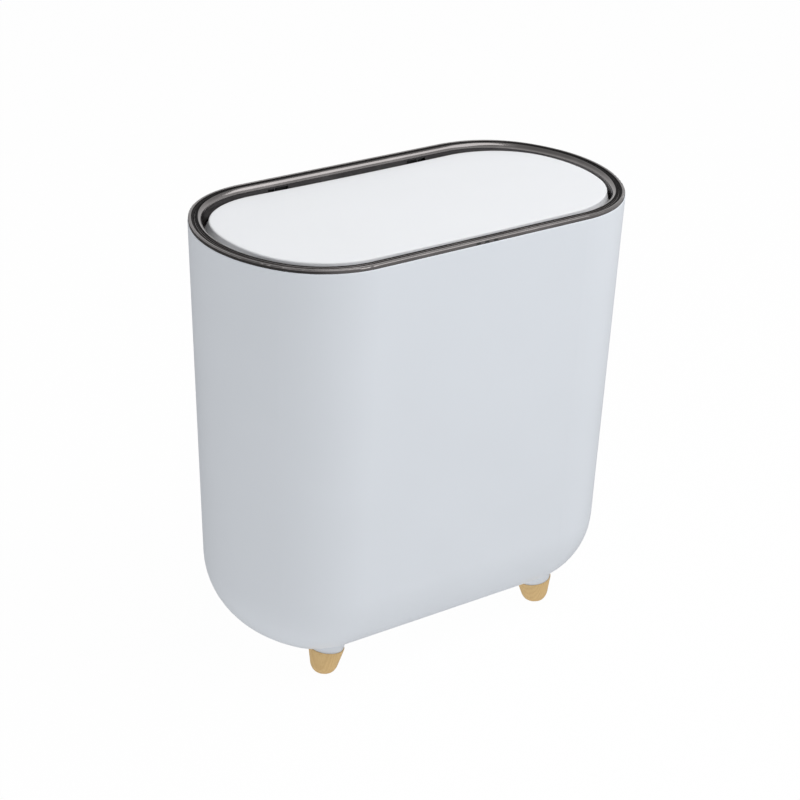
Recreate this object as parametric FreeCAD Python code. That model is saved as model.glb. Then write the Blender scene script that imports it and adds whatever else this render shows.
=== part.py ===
import FreeCAD, Part
import math
import os
from FreeCAD import Vector

# Press-lid bathroom bin with an oval plan, on four splayed wooden feet.
# Millimetres and degrees. +Z is up, +X runs along the length, the front faces -Y, and the origin is on the
# floor under the middle. The lid is drawn level, as it is when pressed, and then turned up to where it rests.

# Plan outline at the rim: straight sides, four corner arcs and two flatter end arcs
LENGTH = 300.0
WIDTH = 163.0
CORNER_RADIUS = 65.0
END_EASE = 13.0  # how much the end arc's radius exceeds half the width

# Clearances
RUNNING_GAP = 0.05  # pin in its bore, on the radius
MOVING_GAP = 0.3  # between pieces that slide past each other
SEAT_GAP = 0.1  # round a piece that is fixed in its seat
CUT_OVERRUN = 1.0  # how far a cut runs past the face that it opens

# Body shell
RIM_HEIGHT = 298.5
UNDERSIDE_HEIGHT = 11.5
BODY_WALL = 2.2
BODY_FLOOR = 2.6
BODY_DRAFT = 1.82
UNDERSIDE_CORNER = 2.6  # corner radius that the bottom rounding leaves on the flat underside
RIM_EDGE_RADIUS = 0.9
RIM_INNER_RADIUS = 0.5

# Wooden feet, the moulded cuffs that hold them and their screws
FOOT_X = 89.0
FOOT_Y = 40.0
FOOT_SPLAY = 8.0
FOOT_HEIGHT = 15.2
FOOT_SEAT_RADIUS = 10.3
FOOT_TIP_RADIUS = 5.9
FOOT_TIP_ROUNDING = 6.5
FOOT_GRIND = 1.0  # taken off the tip so that it stands flat
FOOT_EDGE_RADIUS = 0.6
SPIGOT_RADIUS = 5.0
SPIGOT_LENGTH = 9.0
CUFF_LEDGE = 0.8  # how far the cuff stands out round the foot
CUFF_FLARE = 1.6
CUFF_EDGE_RADIUS = 0.5
BOSS_ROOF = 2.5  # plastic between the spigot and the screw head
BOSS_EDGE_RADIUS = 1.5
FOOT_SCREW_RADIUS = 1.75
FOOT_SCREW_BITE = 10.0
FOOT_SCREW_HEAD_RADIUS = 3.8
FOOT_SCREW_HEAD_HEIGHT = 2.4

# Rim ring: lip, groove, bead, slope, well wall and flange
LIP_INSET = 0.4
LIP_WIDTH = 1.8
LIP_HEIGHT = 2.4
LIP_RADIUS = 0.8
GROOVE_WIDTH = 2.6
GROOVE_DEPTH = 1.0
GROOVE_FLANK = 0.3
BEAD_RISE = 0.2  # crest of the bead above the lip
BEAD_WIDTH = 1.0
BEAD_RADIUS = 0.35
SLOPE_DROP = 3.1
SLOPE_RADIUS = 0.8
RING_WALL = 1.8
RING_FILLET = 0.4
SKIRT_DEPTH = 14.5
FLANGE_INSET = 24.0
FLANGE_DEPTH = 17.0  # flange below the body's rim
FLANGE_THICKNESS = 2.0

# Lid cover and liner
LID_INSET = 10.0
LID_GAP = 1.0  # between the lid's edge and the ring's well
LID_RECESS = 1.6  # top of the level lid below the body's rim
LID_HEIGHT = 8.0
LID_WALL = 2.0
LID_EDGE_RADIUS = 4.0
LID_FOOT_RADIUS = 0.4
LID_BORDER = 18.0  # width of the swept border round the flat top
LINER_THICKNESS = 2.0
LINER_RIM_WIDTH = 1.2
LINER_RIM_HEIGHT = 2.6
REST_TILT = 1.5
POP_TILT = 2.2  # how far the latch lifts the lid past rest
RIB_THICKNESS = 1.4
RIB_DEPTH = 3.0
RIB_ROW_SHARE = 0.28
RIB_COLUMN_SHARES = (-0.66, -0.22, 0.22, 0.66)
LID_BOSS_RADIUS = 3.0
LID_SCREW_RADIUS = 1.1
LID_SCREW_BITE = 2.6
LID_SCREW_HEAD_RADIUS = 2.4
LID_SCREW_HEAD_HEIGHT = 1.2
LID_SCREW_X_SHARES = (-0.62, 0.0, 0.62)
LID_SCREW_Y_SHARES = (-0.56, 0.56)

# Hinge inside the back of the ring: at each station a cheek, a knuckle, a spring and a second cheek on one pin
HINGE_X = 55.0
HINGE_INSET = 6.4
HINGE_DROP = 0.5  # hinge axis below the top of the lid
PIN_RADIUS = 1.0
PIN_TAIL = 0.6
PIN_EDGE_RADIUS = 0.3
CHEEK_THICKNESS = 3.0
CHEEK_INSET = 3.2
CHEEK_DEPTH = 3.4  # below the axis
CHEEK_RISE = 1.1  # above the axis, into the ring's roof
KNUCKLE_RADIUS = 1.9
KNUCKLE_LENGTH = 8.0
ARM_THICKNESS = 1.8  # upright behind the axis that carries the knuckle
ARM_ROOT = 3.0  # overlap of the arm with the liner
SPRING_ROOM = 6.0
SIDE_GAP = 0.4
SLOT_GAP = 0.5  # under the lowest sweep of the arm

# Torsion springs on the hinge pins
TORSION_WIRE_RADIUS = 0.3
TORSION_COIL_RADIUS = 1.5
TORSION_PITCH = 1.15
TORSION_HALF_TURNS = 7
TORSION_LEG = 7.0

# Push latch under the front of the ring
LATCH_INSET = 23.5
STEM_RADIUS = 4.5
STEM_EDGE_RADIUS = 0.6
BLOCK_X = 11.0
BLOCK_Y = 9.0
BLOCK_HEIGHT = 12.0
BLOCK_EDGE_RADIUS = 1.0
MAGNET_RADIUS = 3.3
MAGNET_HEIGHT = 2.4
MAGNET_PROUD = 0.2
MAGNET_EDGE_RADIUS = 0.3
TIP_GAP = 0.3  # magnet to striker plate at rest
HOUSING_WALL = 1.6
HOUSING_TOP = 2.0
HOUSING_HEIGHT = 38.0
HOUSING_EDGE_RADIUS = 1.8
EAR_REACH = 15.0
EAR_RADIUS = 4.0
EAR_THICKNESS = 2.4
EAR_SCREW_X = 11.2
CAP_THICKNESS = 2.0
CAP_PLUG = 2.0
SPRING_NUB_RADIUS = 2.5
SPRING_NUB_HEIGHT = 2.0
PAD_HALF_X = 17.0
PAD_REACH = 9.0  # pad beyond the latch axis, towards the middle of the bin
PAD_CORNER_RADIUS = 5.0
PAD_BOSS_RADIUS = 3.0
PAD_BOSS_HEIGHT = 3.5
COLLAR_WALL = 1.5
COLLAR_HEIGHT = 3.5
LATCH_SCREW_RADIUS = 1.2
LATCH_SCREW_BITE = 4.5
LATCH_SCREW_HEAD_RADIUS = 2.5
LATCH_SCREW_HEAD_HEIGHT = 1.8

# Cam track on the plunger and the wire that follows it, as shares of the plunger's block
TRACK_DEPTH = 1.4
TRACK_RADIUS = 0.9
ISLAND_RADIUS = 0.25
TRACK_SHARES = ((0.0, 0.06), (0.64, 0.40), (0.64, 0.90), (-0.64, 0.90), (-0.64, 0.40))
ISLAND_SHARES = ((0.0, 0.30), (0.22, 0.44), (0.22, 0.68), (0.0, 0.56), (-0.22, 0.68), (-0.22, 0.44))
CLEFT_SHARE = 0.56
WIRE_RADIUS = 0.5
WIRE_BEND = 1.3
WIRE_CHANNEL = 2.2
WIRE_SWING = 3.5  # half width of the channel that the wire swings in
WIRE_TIP_GAP = 0.3

# Return spring of the latch
RETURN_WIRE_RADIUS = 0.4
RETURN_COIL_RADIUS = 3.3
RETURN_TURNS = 4
RETURN_LEAD = 1.6  # height over which each end turns upright

# Striker plate under the front of the lid
STRIKER_X = 30.0
STRIKER_Y = 15.0
STRIKER_THICKNESS = 1.2
STRIKER_CORNER_RADIUS = 2.5
STRIKER_SCREW_X = 10.5
STRIKER_SCREW_RADIUS = 0.9
STRIKER_SCREW_HEAD_RADIUS = 1.8
STRIKER_SCREW_HEAD_HEIGHT = 0.9
STRIKER_SCREW_BITE = 1.6

QUARTER_TURN = 90.0
HALF_TURN = 180.0
FULL_TURN = 360.0
UP = Vector(0, 0, 1)
ACROSS = Vector(1, 0, 0)
ORIGIN = Vector(0, 0, 0)
SAME_POINT = 1e-6

# Plan outline worked out from its driving sizes
half_length = LENGTH / 2
half_width = WIDTH / 2
end_radius = half_width + END_EASE
end_centre_x = half_length - end_radius
corner_centre_y = half_width - CORNER_RADIUS
corner_centre_x = end_centre_x + math.sqrt((end_radius - CORNER_RADIUS) ** 2 - corner_centre_y ** 2)
end_turn = math.degrees(math.atan2(corner_centre_y, corner_centre_x - end_centre_x))

# Draft and bottom rounding of the body
draft_slope = math.tan(math.radians(BODY_DRAFT))
draft_stretch = 1 / math.cos(math.radians(BODY_DRAFT))
wall_across = BODY_WALL * draft_stretch
body_height = RIM_HEIGHT - UNDERSIDE_HEIGHT
bottom_radius = (CORNER_RADIUS - UNDERSIDE_CORNER - draft_slope * body_height) / (draft_stretch - draft_slope)

# Lid and hinge heights with the lid level
lid_top = RIM_HEIGHT - LID_RECESS
lid_bottom = lid_top - LID_HEIGHT
lid_ceiling = lid_top - LID_WALL
liner_top = lid_bottom + LINER_THICKNESS
hinge_y = half_width - HINGE_INSET
hinge_z = lid_top - HINGE_DROP
hinge_line = Vector(0, hinge_y, hinge_z)

# Ring heights and insets
well_inset = LID_INSET - LID_GAP
flange_top = RIM_HEIGHT - FLANGE_DEPTH
flange_bottom = flange_top - FLANGE_THICKNESS
lip_top = RIM_HEIGHT + LIP_HEIGHT
groove_floor = lip_top - GROOVE_DEPTH
crest = lip_top + BEAD_RISE

# Hinge station, measured outwards from its inner cheek
station_length = 2 * CHEEK_THICKNESS + KNUCKLE_LENGTH + SPRING_ROOM + 3 * SIDE_GAP
station_start = HINGE_X - station_length / 2
station_end = station_start + station_length
pocket_start = station_start + CHEEK_THICKNESS
pocket_end = station_end - CHEEK_THICKNESS
knuckle_start = pocket_start + SIDE_GAP
knuckle_end = knuckle_start + KNUCKLE_LENGTH
spring_end = pocket_end - SIDE_GAP
coil_length = TORSION_HALF_TURNS * TORSION_PITCH / 2
coil_start = spring_end - (SPRING_ROOM - coil_length) / 2
pin_start = station_start - PIN_TAIL
pin_length = station_length + 2 * PIN_TAIL
arm_root = half_width - LID_INSET - LID_WALL - ARM_ROOT
arm_back = hinge_y + ARM_THICKNESS

# Latch heights at rest
latch_y = LATCH_INSET - half_width
latch_lever = hinge_y - latch_y
latch_stroke = latch_lever * math.radians(POP_TILT)
striker_bottom = lid_bottom - STRIKER_THICKNESS
tilt = math.radians(REST_TILT)
striker_low_edge = latch_lever - STEM_RADIUS
striker_rest = hinge_z + striker_low_edge * math.sin(tilt) - (hinge_z - striker_bottom) * math.cos(tilt)
magnet_top = striker_rest - TIP_GAP
stem_top = magnet_top - MAGNET_PROUD
housing_ceiling = flange_bottom - HOUSING_TOP
block_top = housing_ceiling - latch_stroke - MOVING_GAP
block_bottom = block_top - BLOCK_HEIGHT
housing_bottom = flange_bottom - HOUSING_HEIGHT
cavity_half_x = BLOCK_X / 2 + MOVING_GAP
cavity_half_y = BLOCK_Y / 2 + MOVING_GAP
housing_half_x = cavity_half_x + HOUSING_WALL
housing_back = cavity_half_y + HOUSING_WALL
housing_front = -(cavity_half_y + WIRE_CHANNEL + HOUSING_WALL)


def rounded_wire(corners, place):
    """Closed wire through corners (a, b, radius), each rounded by its radius and placed by place(point)."""
    turns = []
    for index, (a, b, radius) in enumerate(corners):
        here = Vector(a, b, 0)
        before = corners[index - 1]
        after = corners[(index + 1) % len(corners)]
        to_before = (Vector(before[0], before[1], 0) - here).normalize()
        to_after = (Vector(after[0], after[1], 0) - here).normalize()
        half = to_before.getAngle(to_after) / 2
        reach = radius / math.tan(half)
        inward = (to_before + to_after).normalize() if radius else ORIGIN
        middle = here + inward * (radius / math.sin(half) - radius)
        turns.append((here + to_before * reach, middle, here + to_after * reach, radius))
    edges = []
    for index, (first, middle, last, radius) in enumerate(turns):
        if radius:
            edges.append(Part.Arc(place(first), place(middle), place(last)).toShape())
        following = turns[(index + 1) % len(turns)][0]
        if (following - last).Length > SAME_POINT:
            edges.append(Part.LineSegment(place(last), place(following)).toShape())
    return Part.Wire(edges)


def flat_place(height, turned=ORIGIN):
    """Placer for an outline that lies level at a height, moved by a vector."""
    return lambda point: Vector(point.x, point.y, height) + turned


def turned_solid(corners):
    """Solid turned about the Z axis from corners (radius out, height, rounding)."""
    face = Part.Face(rounded_wire(corners, lambda point: Vector(point.x, 0, point.y)))
    return face.revolve(ORIGIN, UP, FULL_TURN)


def block(half_x, front, back, low, high, radius):
    """Upright prism with rounded vertical edges, from front to back in Y and low to high in Z."""
    places = ((half_x, front), (half_x, back), (-half_x, back), (-half_x, front))
    corners = [(x, y, radius) for x, y in places]
    return Part.Face(rounded_wire(corners, flat_place(low))).extrude(UP * (high - low))


def post(radius, x, y, low, high):
    """Upright cylinder."""
    return Part.makeCylinder(radius, high - low, Vector(x, y, low))


def outline_arcs():
    """Arcs of the plan outline as centre, radius, first angle and sweep, anticlockwise from the right end."""
    corner_turn = QUARTER_TURN - end_turn
    right_corner = Vector(corner_centre_x, corner_centre_y, 0)
    left_corner = Vector(-corner_centre_x, corner_centre_y, 0)
    end = Vector(end_centre_x, 0, 0)
    return [
        (end, end_radius, -end_turn, 2 * end_turn),
        (right_corner, CORNER_RADIUS, end_turn, corner_turn),
        (left_corner, CORNER_RADIUS, QUARTER_TURN, corner_turn),
        (-end, end_radius, HALF_TURN - end_turn, 2 * end_turn),
        (-right_corner, CORNER_RADIUS, HALF_TURN + end_turn, corner_turn),
        (-left_corner, CORNER_RADIUS, HALF_TURN + QUARTER_TURN, corner_turn),
    ]


def plate(inset, low, high):
    """Flat plate with the plan outline drawn in by an inset."""
    ends = []
    for centre, radius, first, sweep in outline_arcs():
        angles = [math.radians(first + sweep * step / 2) for step in range(3)]
        reach = radius - inset
        ends.append([centre + Vector(reach * math.cos(t), reach * math.sin(t), low) for t in angles])
    edges = []
    for index, points in enumerate(ends):
        edges.append(Part.Arc(*points).toShape())
        following = ends[(index + 1) % len(ends)][0]
        if (following - points[-1]).Length > SAME_POINT:
            edges.append(Part.LineSegment(points[-1], following).toShape())
    return Part.Face(Part.Wire(edges)).extrude(UP * (high - low))


def sweep_round(corners):
    """Section of corners (inset from the outline, height, rounding) carried round the whole plan outline."""
    section = Part.Face(rounded_wire(corners, lambda point: Vector(-point.x, 0, point.y)))
    spans = []
    for centre, radius, first, sweep in outline_arcs():
        face = section.translated(ACROSS * radius)
        face.rotate(ORIGIN, UP, first)
        face.translate(centre)
        spans.append(face.revolve(centre, UP, sweep))
    for angle, start in ((QUARTER_TURN, corner_centre_x), (-QUARTER_TURN, -corner_centre_x)):
        face = section.translated(ACROSS * half_width)
        face.rotate(ORIGIN, UP, angle)
        face.translate(ACROSS * start)
        spans.append(face.extrude(ACROSS * (-2 * start)))
    return one_solid(spans[0].multiFuse(spans[1:]))


def one_solid(shape):
    """The single solid of a fused shape, with its split faces joined."""
    return shape.removeSplitter().Solids[0]


def joined(first, *others):
    """Shapes fused into one solid."""
    return one_solid(first.multiFuse(list(others)))


def mirrored(shape):
    """Copy on the other side of the bin's middle plane across X."""
    return shape.mirror(ORIGIN, ACROSS)


def at_rest(shape):
    """Lid piece turned up about the hinge from level to where it rests."""
    return shape.rotated(hinge_line, ACROSS, -REST_TILT)


def biarc(start, start_way, end, end_way):
    """Two tangent arcs from start to end that leave and arrive along the given unit ways."""
    chord = end - start
    ways = start_way + end_way
    bend = 2 * (1 - start_way.dot(end_way))
    along = chord.dot(ways)
    reach = (math.sqrt(along ** 2 + bend * chord.dot(chord)) - along) / bend
    joint = (start + end + (start_way - end_way) * reach) / 2
    arcs = []
    corners = (start + start_way * reach, end - end_way * reach)
    for first, last, corner in zip((start, joint), (joint, end), corners):
        half_chord = (last - first).Length / 2
        middle = (first + last) / 2
        rise = half_chord * math.tan(math.acos(min(1, half_chord / reach)) / 2)
        arcs.append(Part.Arc(first, middle + (corner - middle).normalize() * rise, last).toShape())
    return arcs


def coil_points(centre, side, ahead, along, radius, pitch, quarters):
    """Points and unit ways of a helix at each quarter turn, from side towards ahead while it moves along."""
    stations = []
    for step in range(quarters + 1):
        turn = math.radians(QUARTER_TURN * step)
        point = centre + (side * math.cos(turn) + ahead * math.sin(turn)) * radius + along * (pitch * step / 4)
        way = (ahead * math.cos(turn) - side * math.sin(turn)) * radius + along * (pitch / (2 * math.pi))
        stations.append((point, way.normalize()))
    return stations


def wire_tube(edges, wire_radius):
    """Round wire along tangent edges, as one solid."""
    path = Part.Wire(edges)
    start = edges[0].valueAt(edges[0].FirstParameter)
    way = edges[0].tangentAt(edges[0].FirstParameter)
    ring = Part.Wire(Part.Circle(start, way, wire_radius).toShape())
    tube = path.makePipeShell([ring], True, False)
    return tube.Solids[0] if tube.Solids else Part.Solid(tube)


def least_gap(edges, wire_radius, turn_length):
    """Least distance between the surfaces of turns that lie at least half a turn apart along the wire."""
    points = []
    for edge in edges:
        points.extend(edge.discretize(5)[:-1])
    spots = [0.0]
    for first, last in zip(points, points[1:]):
        spots.append(spots[-1] + (last - first).Length)
    gaps = []
    for i, first in enumerate(points):
        for j in range(i):
            if spots[i] - spots[j] > turn_length / 2:
                gaps.append((first - points[j]).Length)
    return min(gaps) - 2 * wire_radius


def foot_place(shape, side_x, side_y):
    """Piece drawn upright on the Z axis, splayed and set at one of the four feet."""
    splayed = shape.rotated(ORIGIN, Vector(0, 1, 0), -side_x * FOOT_SPLAY)
    return splayed.translated(Vector(side_x * FOOT_X, side_y * FOOT_Y, 0))


boss_top = FOOT_HEIGHT + SPIGOT_LENGTH + SEAT_GAP + BOSS_ROOF
FEET = {
    "foot_front_left": (-1, -1),
    "foot_front_right": (1, -1),
    "foot_back_left": (-1, 1),
    "foot_back_right": (1, 1),
}


def body_shell():
    """Drafted oval shell with a wide bottom rounding, and a cuff and screw boss for each foot."""
    inside_floor = UNDERSIDE_HEIGHT + BODY_FLOOR
    flat_inset = CORNER_RADIUS - UNDERSIDE_CORNER / 2
    shell = sweep_round([
        (0, RIM_HEIGHT, RIM_EDGE_RADIUS),
        (draft_slope * body_height, UNDERSIDE_HEIGHT, bottom_radius),
        (flat_inset, UNDERSIDE_HEIGHT, 0),
        (flat_inset, inside_floor, 0),
        (wall_across + draft_slope * (RIM_HEIGHT - inside_floor), inside_floor, bottom_radius - BODY_WALL),
        (wall_across, RIM_HEIGHT, RIM_INNER_RADIUS),
    ])
    shell = joined(shell, plate(flat_inset, UNDERSIDE_HEIGHT, inside_floor))
    cuff_radius = FOOT_SEAT_RADIUS + CUFF_LEDGE
    cuff = turned_solid([
        (0, FOOT_HEIGHT, 0),
        (cuff_radius, FOOT_HEIGHT, CUFF_EDGE_RADIUS),
        (cuff_radius + CUFF_FLARE, boss_top, BOSS_EDGE_RADIUS),
        (0, boss_top, 0),
    ])
    room = Part.makeCylinder(cuff_radius, FOOT_HEIGHT)
    socket = post(SPIGOT_RADIUS + SEAT_GAP, 0, 0, 0, boss_top - BOSS_ROOF)
    screw_hole = post(FOOT_SCREW_RADIUS + SEAT_GAP, 0, 0, 0, boss_top + CUT_OVERRUN)
    hollow = joined(room, socket, screw_hole)
    shell = joined(shell, *[foot_place(cuff, *sides) for sides in FEET.values()])
    return one_solid(shell.cut([foot_place(hollow, *sides) for sides in FEET.values()]))


def foot():
    """Turned foot on the Z axis with a spigot on top and a pilot hole for its screw."""
    spigot_top = FOOT_HEIGHT + SPIGOT_LENGTH
    turned = turned_solid([
        (0, -FOOT_GRIND, 0),
        (FOOT_TIP_RADIUS, -FOOT_GRIND, FOOT_TIP_ROUNDING),
        (FOOT_SEAT_RADIUS, FOOT_HEIGHT, FOOT_EDGE_RADIUS),
        (SPIGOT_RADIUS, FOOT_HEIGHT, 0),
        (SPIGOT_RADIUS, spigot_top, FOOT_EDGE_RADIUS),
        (0, spigot_top, 0),
    ])
    pilot_end = boss_top - BOSS_ROOF - SEAT_GAP - FOOT_SCREW_BITE
    return turned.cut(post(FOOT_SCREW_RADIUS + SEAT_GAP, 0, 0, pilot_end, spigot_top + CUT_OVERRUN))


def standing_foot(side_x, side_y):
    """Foot in its place, with the tip taken off level with the floor."""
    placed = foot_place(foot(), side_x, side_y)
    below = Part.makeBox(LENGTH, WIDTH, FOOT_HEIGHT, Vector(-half_length, -half_width, -FOOT_HEIGHT))
    return one_solid(placed.cut(below))


def pan_screw(radius, length, head_radius, head_height):
    """Pan-head screw on the Z axis with its head on the plane at zero and its shank below."""
    return turned_solid([
        (0, -length, 0),
        (radius, -length, radius / 2),
        (radius, 0, 0),
        (head_radius, 0, 0),
        (head_radius, head_height, head_height / 2),
        (0, head_height, 0),
    ])


def countersunk_screw(radius, length, head_radius, head_height):
    """Countersunk screw on the Z axis with its flat head at zero and its shank above."""
    return turned_solid([
        (0, 0, 0),
        (head_radius, 0, 0),
        (radius, head_height, 0),
        (radius, length, radius / 2),
        (0, length, 0),
    ])


def countersink(radius, depth, head_radius, head_height, gap):
    """Hole for a countersunk screw, drawn the same way round, a gap wider all over."""
    return turned_solid([
        (0, -CUT_OVERRUN, 0),
        (head_radius + gap, -CUT_OVERRUN, 0),
        (head_radius + gap, 0, 0),
        (radius + gap, head_height, 0),
        (radius + gap, depth, 0),
        (0, depth, 0),
    ])


def foot_screws():
    """One screw from inside the bin into each foot."""
    bite = BOSS_ROOF + FOOT_SCREW_BITE
    screw = pan_screw(FOOT_SCREW_RADIUS, bite, FOOT_SCREW_HEAD_RADIUS, FOOT_SCREW_HEAD_HEIGHT)
    raised = screw.translated(UP * boss_top)
    return Part.Compound([foot_place(raised, *sides) for sides in FEET.values()])


def hinge_cheek(start):
    """Bearing plate across the hollow back of the ring, of one cheek thickness from start outwards."""
    front = half_width - well_inset + SEAT_GAP
    back = half_width - CHEEK_INSET
    low = hinge_z - CHEEK_DEPTH
    return Part.makeBox(CHEEK_THICKNESS, back - front, CHEEK_DEPTH + CHEEK_RISE, Vector(start, front, low))


def hinge_pocket():
    """Room between the right-hand cheeks for the knuckle, the spring and the sweep of the arm."""
    length = pocket_end - pocket_start
    front = half_width - well_inset - CUT_OVERRUN
    back = arm_back + MOVING_GAP
    low = hinge_z - math.hypot(ARM_THICKNESS, hinge_z - lid_bottom) - SLOT_GAP
    slot = Part.makeBox(length, back - front, hinge_z + MOVING_GAP - low, Vector(pocket_start, front, low))
    turning = Part.makeCylinder(
        KNUCKLE_RADIUS + MOVING_GAP, length, Vector(pocket_start, hinge_y, hinge_z), ACROSS
    )
    return slot.fuse(turning)


def pin_bore():
    """Bore for the right-hand pin, run on towards the middle so that the pin can be slid in."""
    entry = pin_start - pin_length
    length = station_end + PIN_TAIL + SEAT_GAP - entry
    return Part.makeCylinder(PIN_RADIUS + RUNNING_GAP, length, Vector(entry, hinge_y, hinge_z), ACROSS)


def rim_ring():
    """Ring with lip, groove, bead and sloped well, hinge cheeks at the back and a latch pad at the front."""
    skirt_bottom = RIM_HEIGHT - SKIRT_DEPTH
    skirt_lean = draft_slope * SKIRT_DEPTH
    skirt_face = wall_across + MOVING_GAP
    lip_inner = LIP_INSET + LIP_WIDTH
    bead_outer = lip_inner + GROOVE_WIDTH
    roof = RIM_HEIGHT - RING_WALL
    ring = sweep_round([
        (LIP_INSET, RIM_HEIGHT, 0),
        (LIP_INSET, lip_top, LIP_RADIUS),
        (lip_inner, lip_top, BEAD_RADIUS),
        (lip_inner + GROOVE_FLANK, groove_floor, BEAD_RADIUS),
        (bead_outer - GROOVE_FLANK, groove_floor, BEAD_RADIUS),
        (bead_outer, crest, BEAD_RADIUS),
        (bead_outer + BEAD_WIDTH, crest, BEAD_RADIUS),
        (well_inset, crest - SLOPE_DROP, SLOPE_RADIUS),
        (well_inset, flange_top, RING_FILLET),
        (FLANGE_INSET, flange_top, RING_FILLET),
        (FLANGE_INSET, flange_bottom, RING_FILLET),
        (well_inset - RING_WALL, flange_bottom, RING_FILLET),
        (well_inset - RING_WALL, roof, RING_FILLET),
        (skirt_face + RING_WALL, roof, RING_FILLET),
        (skirt_face + RING_WALL + skirt_lean, skirt_bottom, RING_FILLET),
        (skirt_face + skirt_lean, skirt_bottom, RING_FILLET),
        (skirt_face, RIM_HEIGHT, 0),
    ])
    cheeks = [hinge_cheek(station_start), hinge_cheek(pocket_end)]
    cheeks += [mirrored(cheek) for cheek in cheeks]
    pad_front = latch_y - EAR_RADIUS
    pad = block(PAD_HALF_X, pad_front, latch_y + PAD_REACH, flange_bottom, flange_top, PAD_CORNER_RADIUS)
    collar_radius = STEM_RADIUS + MOVING_GAP + COLLAR_WALL
    collar = post(collar_radius, 0, latch_y, flange_bottom, flange_top + COLLAR_HEIGHT)
    boss_roof = flange_top + PAD_BOSS_HEIGHT
    bosses = [post(PAD_BOSS_RADIUS, x, latch_y, flange_bottom, boss_roof) for x in (-EAR_SCREW_X, EAR_SCREW_X)]
    ring = joined(ring, *cheeks, pad, collar, *bosses)
    hinge_room = hinge_pocket().fuse(pin_bore())
    hole_low = flange_bottom - CUT_OVERRUN
    stem_hole = post(STEM_RADIUS + MOVING_GAP, 0, latch_y, hole_low, flange_top + COLLAR_HEIGHT + CUT_OVERRUN)
    pilot_top = flange_bottom + LATCH_SCREW_BITE + SEAT_GAP
    pilots = [
        post(LATCH_SCREW_RADIUS + SEAT_GAP, x, latch_y, hole_low, pilot_top)
        for x in (-EAR_SCREW_X, EAR_SCREW_X)
    ]
    return one_solid(ring.cut([hinge_room, mirrored(hinge_room), stem_hole, *pilots]))


def hinge_pin():
    """Plain pin of the right-hand station with rounded ends."""
    pin = turned_solid([
        (0, 0, 0),
        (PIN_RADIUS, 0, PIN_EDGE_RADIUS),
        (PIN_RADIUS, pin_length, PIN_EDGE_RADIUS),
        (0, pin_length, 0),
    ])
    return pin.rotated(ORIGIN, Vector(0, 1, 0), QUARTER_TURN).translated(Vector(pin_start, hinge_y, hinge_z))


def torsion_edges():
    """Centre line of the right-hand torsion spring: back leg, coil on the pin, leg behind the lid's arm."""
    back = Vector(0, 1, 0)
    stations = coil_points(
        Vector(coil_start, hinge_y, hinge_z), back, UP, -ACROSS,
        TORSION_COIL_RADIUS, TORSION_PITCH, 2 * TORSION_HALF_TURNS,
    )
    first = stations[0][0]
    last = stations[-1][0]
    stations[0] = (first, UP)
    stations[-1] = (last, -UP)
    edges = [Part.LineSegment(first - UP * TORSION_LEG, first).toShape()]
    for (start, start_way), (end, end_way) in zip(stations, stations[1:]):
        edges.extend(biarc(start, start_way, end, end_way))
    edges.append(Part.LineSegment(last, last - UP * TORSION_LEG).toShape())
    return edges


def lid_screw_places():
    """Plan places of the screws that hold the liner to the cover."""
    half_x = half_length - LID_INSET
    half_y = half_width - LID_INSET
    return [(half_x * x, half_y * y) for x in LID_SCREW_X_SHARES for y in LID_SCREW_Y_SHARES]


def arm_notches():
    """Room in the cover's back edge for both arms of the liner."""
    start = knuckle_start - MOVING_GAP
    front = half_width - LID_INSET - LID_WALL - CUT_OVERRUN
    low = lid_bottom - CUT_OVERRUN
    length = spring_end + MOVING_GAP - start
    height = liner_top + MOVING_GAP - low
    notch = Part.makeBox(length, half_width - front, height, Vector(start, front, low))
    return [notch, mirrored(notch)]


def lid_cover():
    """Shallow cover with a soft edge, ribs and screw bosses underneath, notched for the liner's arms."""
    border = LID_INSET + LID_BORDER
    wall_inset = LID_INSET + LID_WALL
    cover = sweep_round([
        (LID_INSET, lid_bottom, LID_FOOT_RADIUS),
        (LID_INSET, lid_top, LID_EDGE_RADIUS),
        (border, lid_top, 0),
        (border, lid_ceiling, 0),
        (wall_inset, lid_ceiling, LID_EDGE_RADIUS - LID_WALL),
        (wall_inset, lid_bottom, LID_FOOT_RADIUS),
    ])
    extras = [plate(border, lid_ceiling, lid_top)]
    rib_low = lid_ceiling - RIB_DEPTH
    rib_length = 2 * (half_length - border)
    rib_width = 2 * (half_width - border)
    row_y = (half_width - LID_INSET) * RIB_ROW_SHARE
    for y in (-row_y, row_y):
        corner = Vector(-rib_length / 2, y - RIB_THICKNESS / 2, rib_low)
        extras.append(Part.makeBox(rib_length, RIB_THICKNESS, lid_top - rib_low - LID_WALL / 2, corner))
    for share in RIB_COLUMN_SHARES:
        x = (half_length - LID_INSET) * share
        corner = Vector(x - RIB_THICKNESS / 2, -rib_width / 2, rib_low)
        extras.append(Part.makeBox(RIB_THICKNESS, rib_width, lid_top - rib_low - LID_WALL / 2, corner))
    places = lid_screw_places()
    extras += [post(LID_BOSS_RADIUS, x, y, liner_top, lid_top - LID_WALL / 2) for x, y in places]
    cover = joined(cover, *extras)
    pilots = [
        post(LID_SCREW_RADIUS + SEAT_GAP, x, y, liner_top - CUT_OVERRUN, liner_top + LID_SCREW_BITE + SEAT_GAP)
        for x, y in places
    ]
    return one_solid(cover.cut(arm_notches() + pilots))


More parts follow.
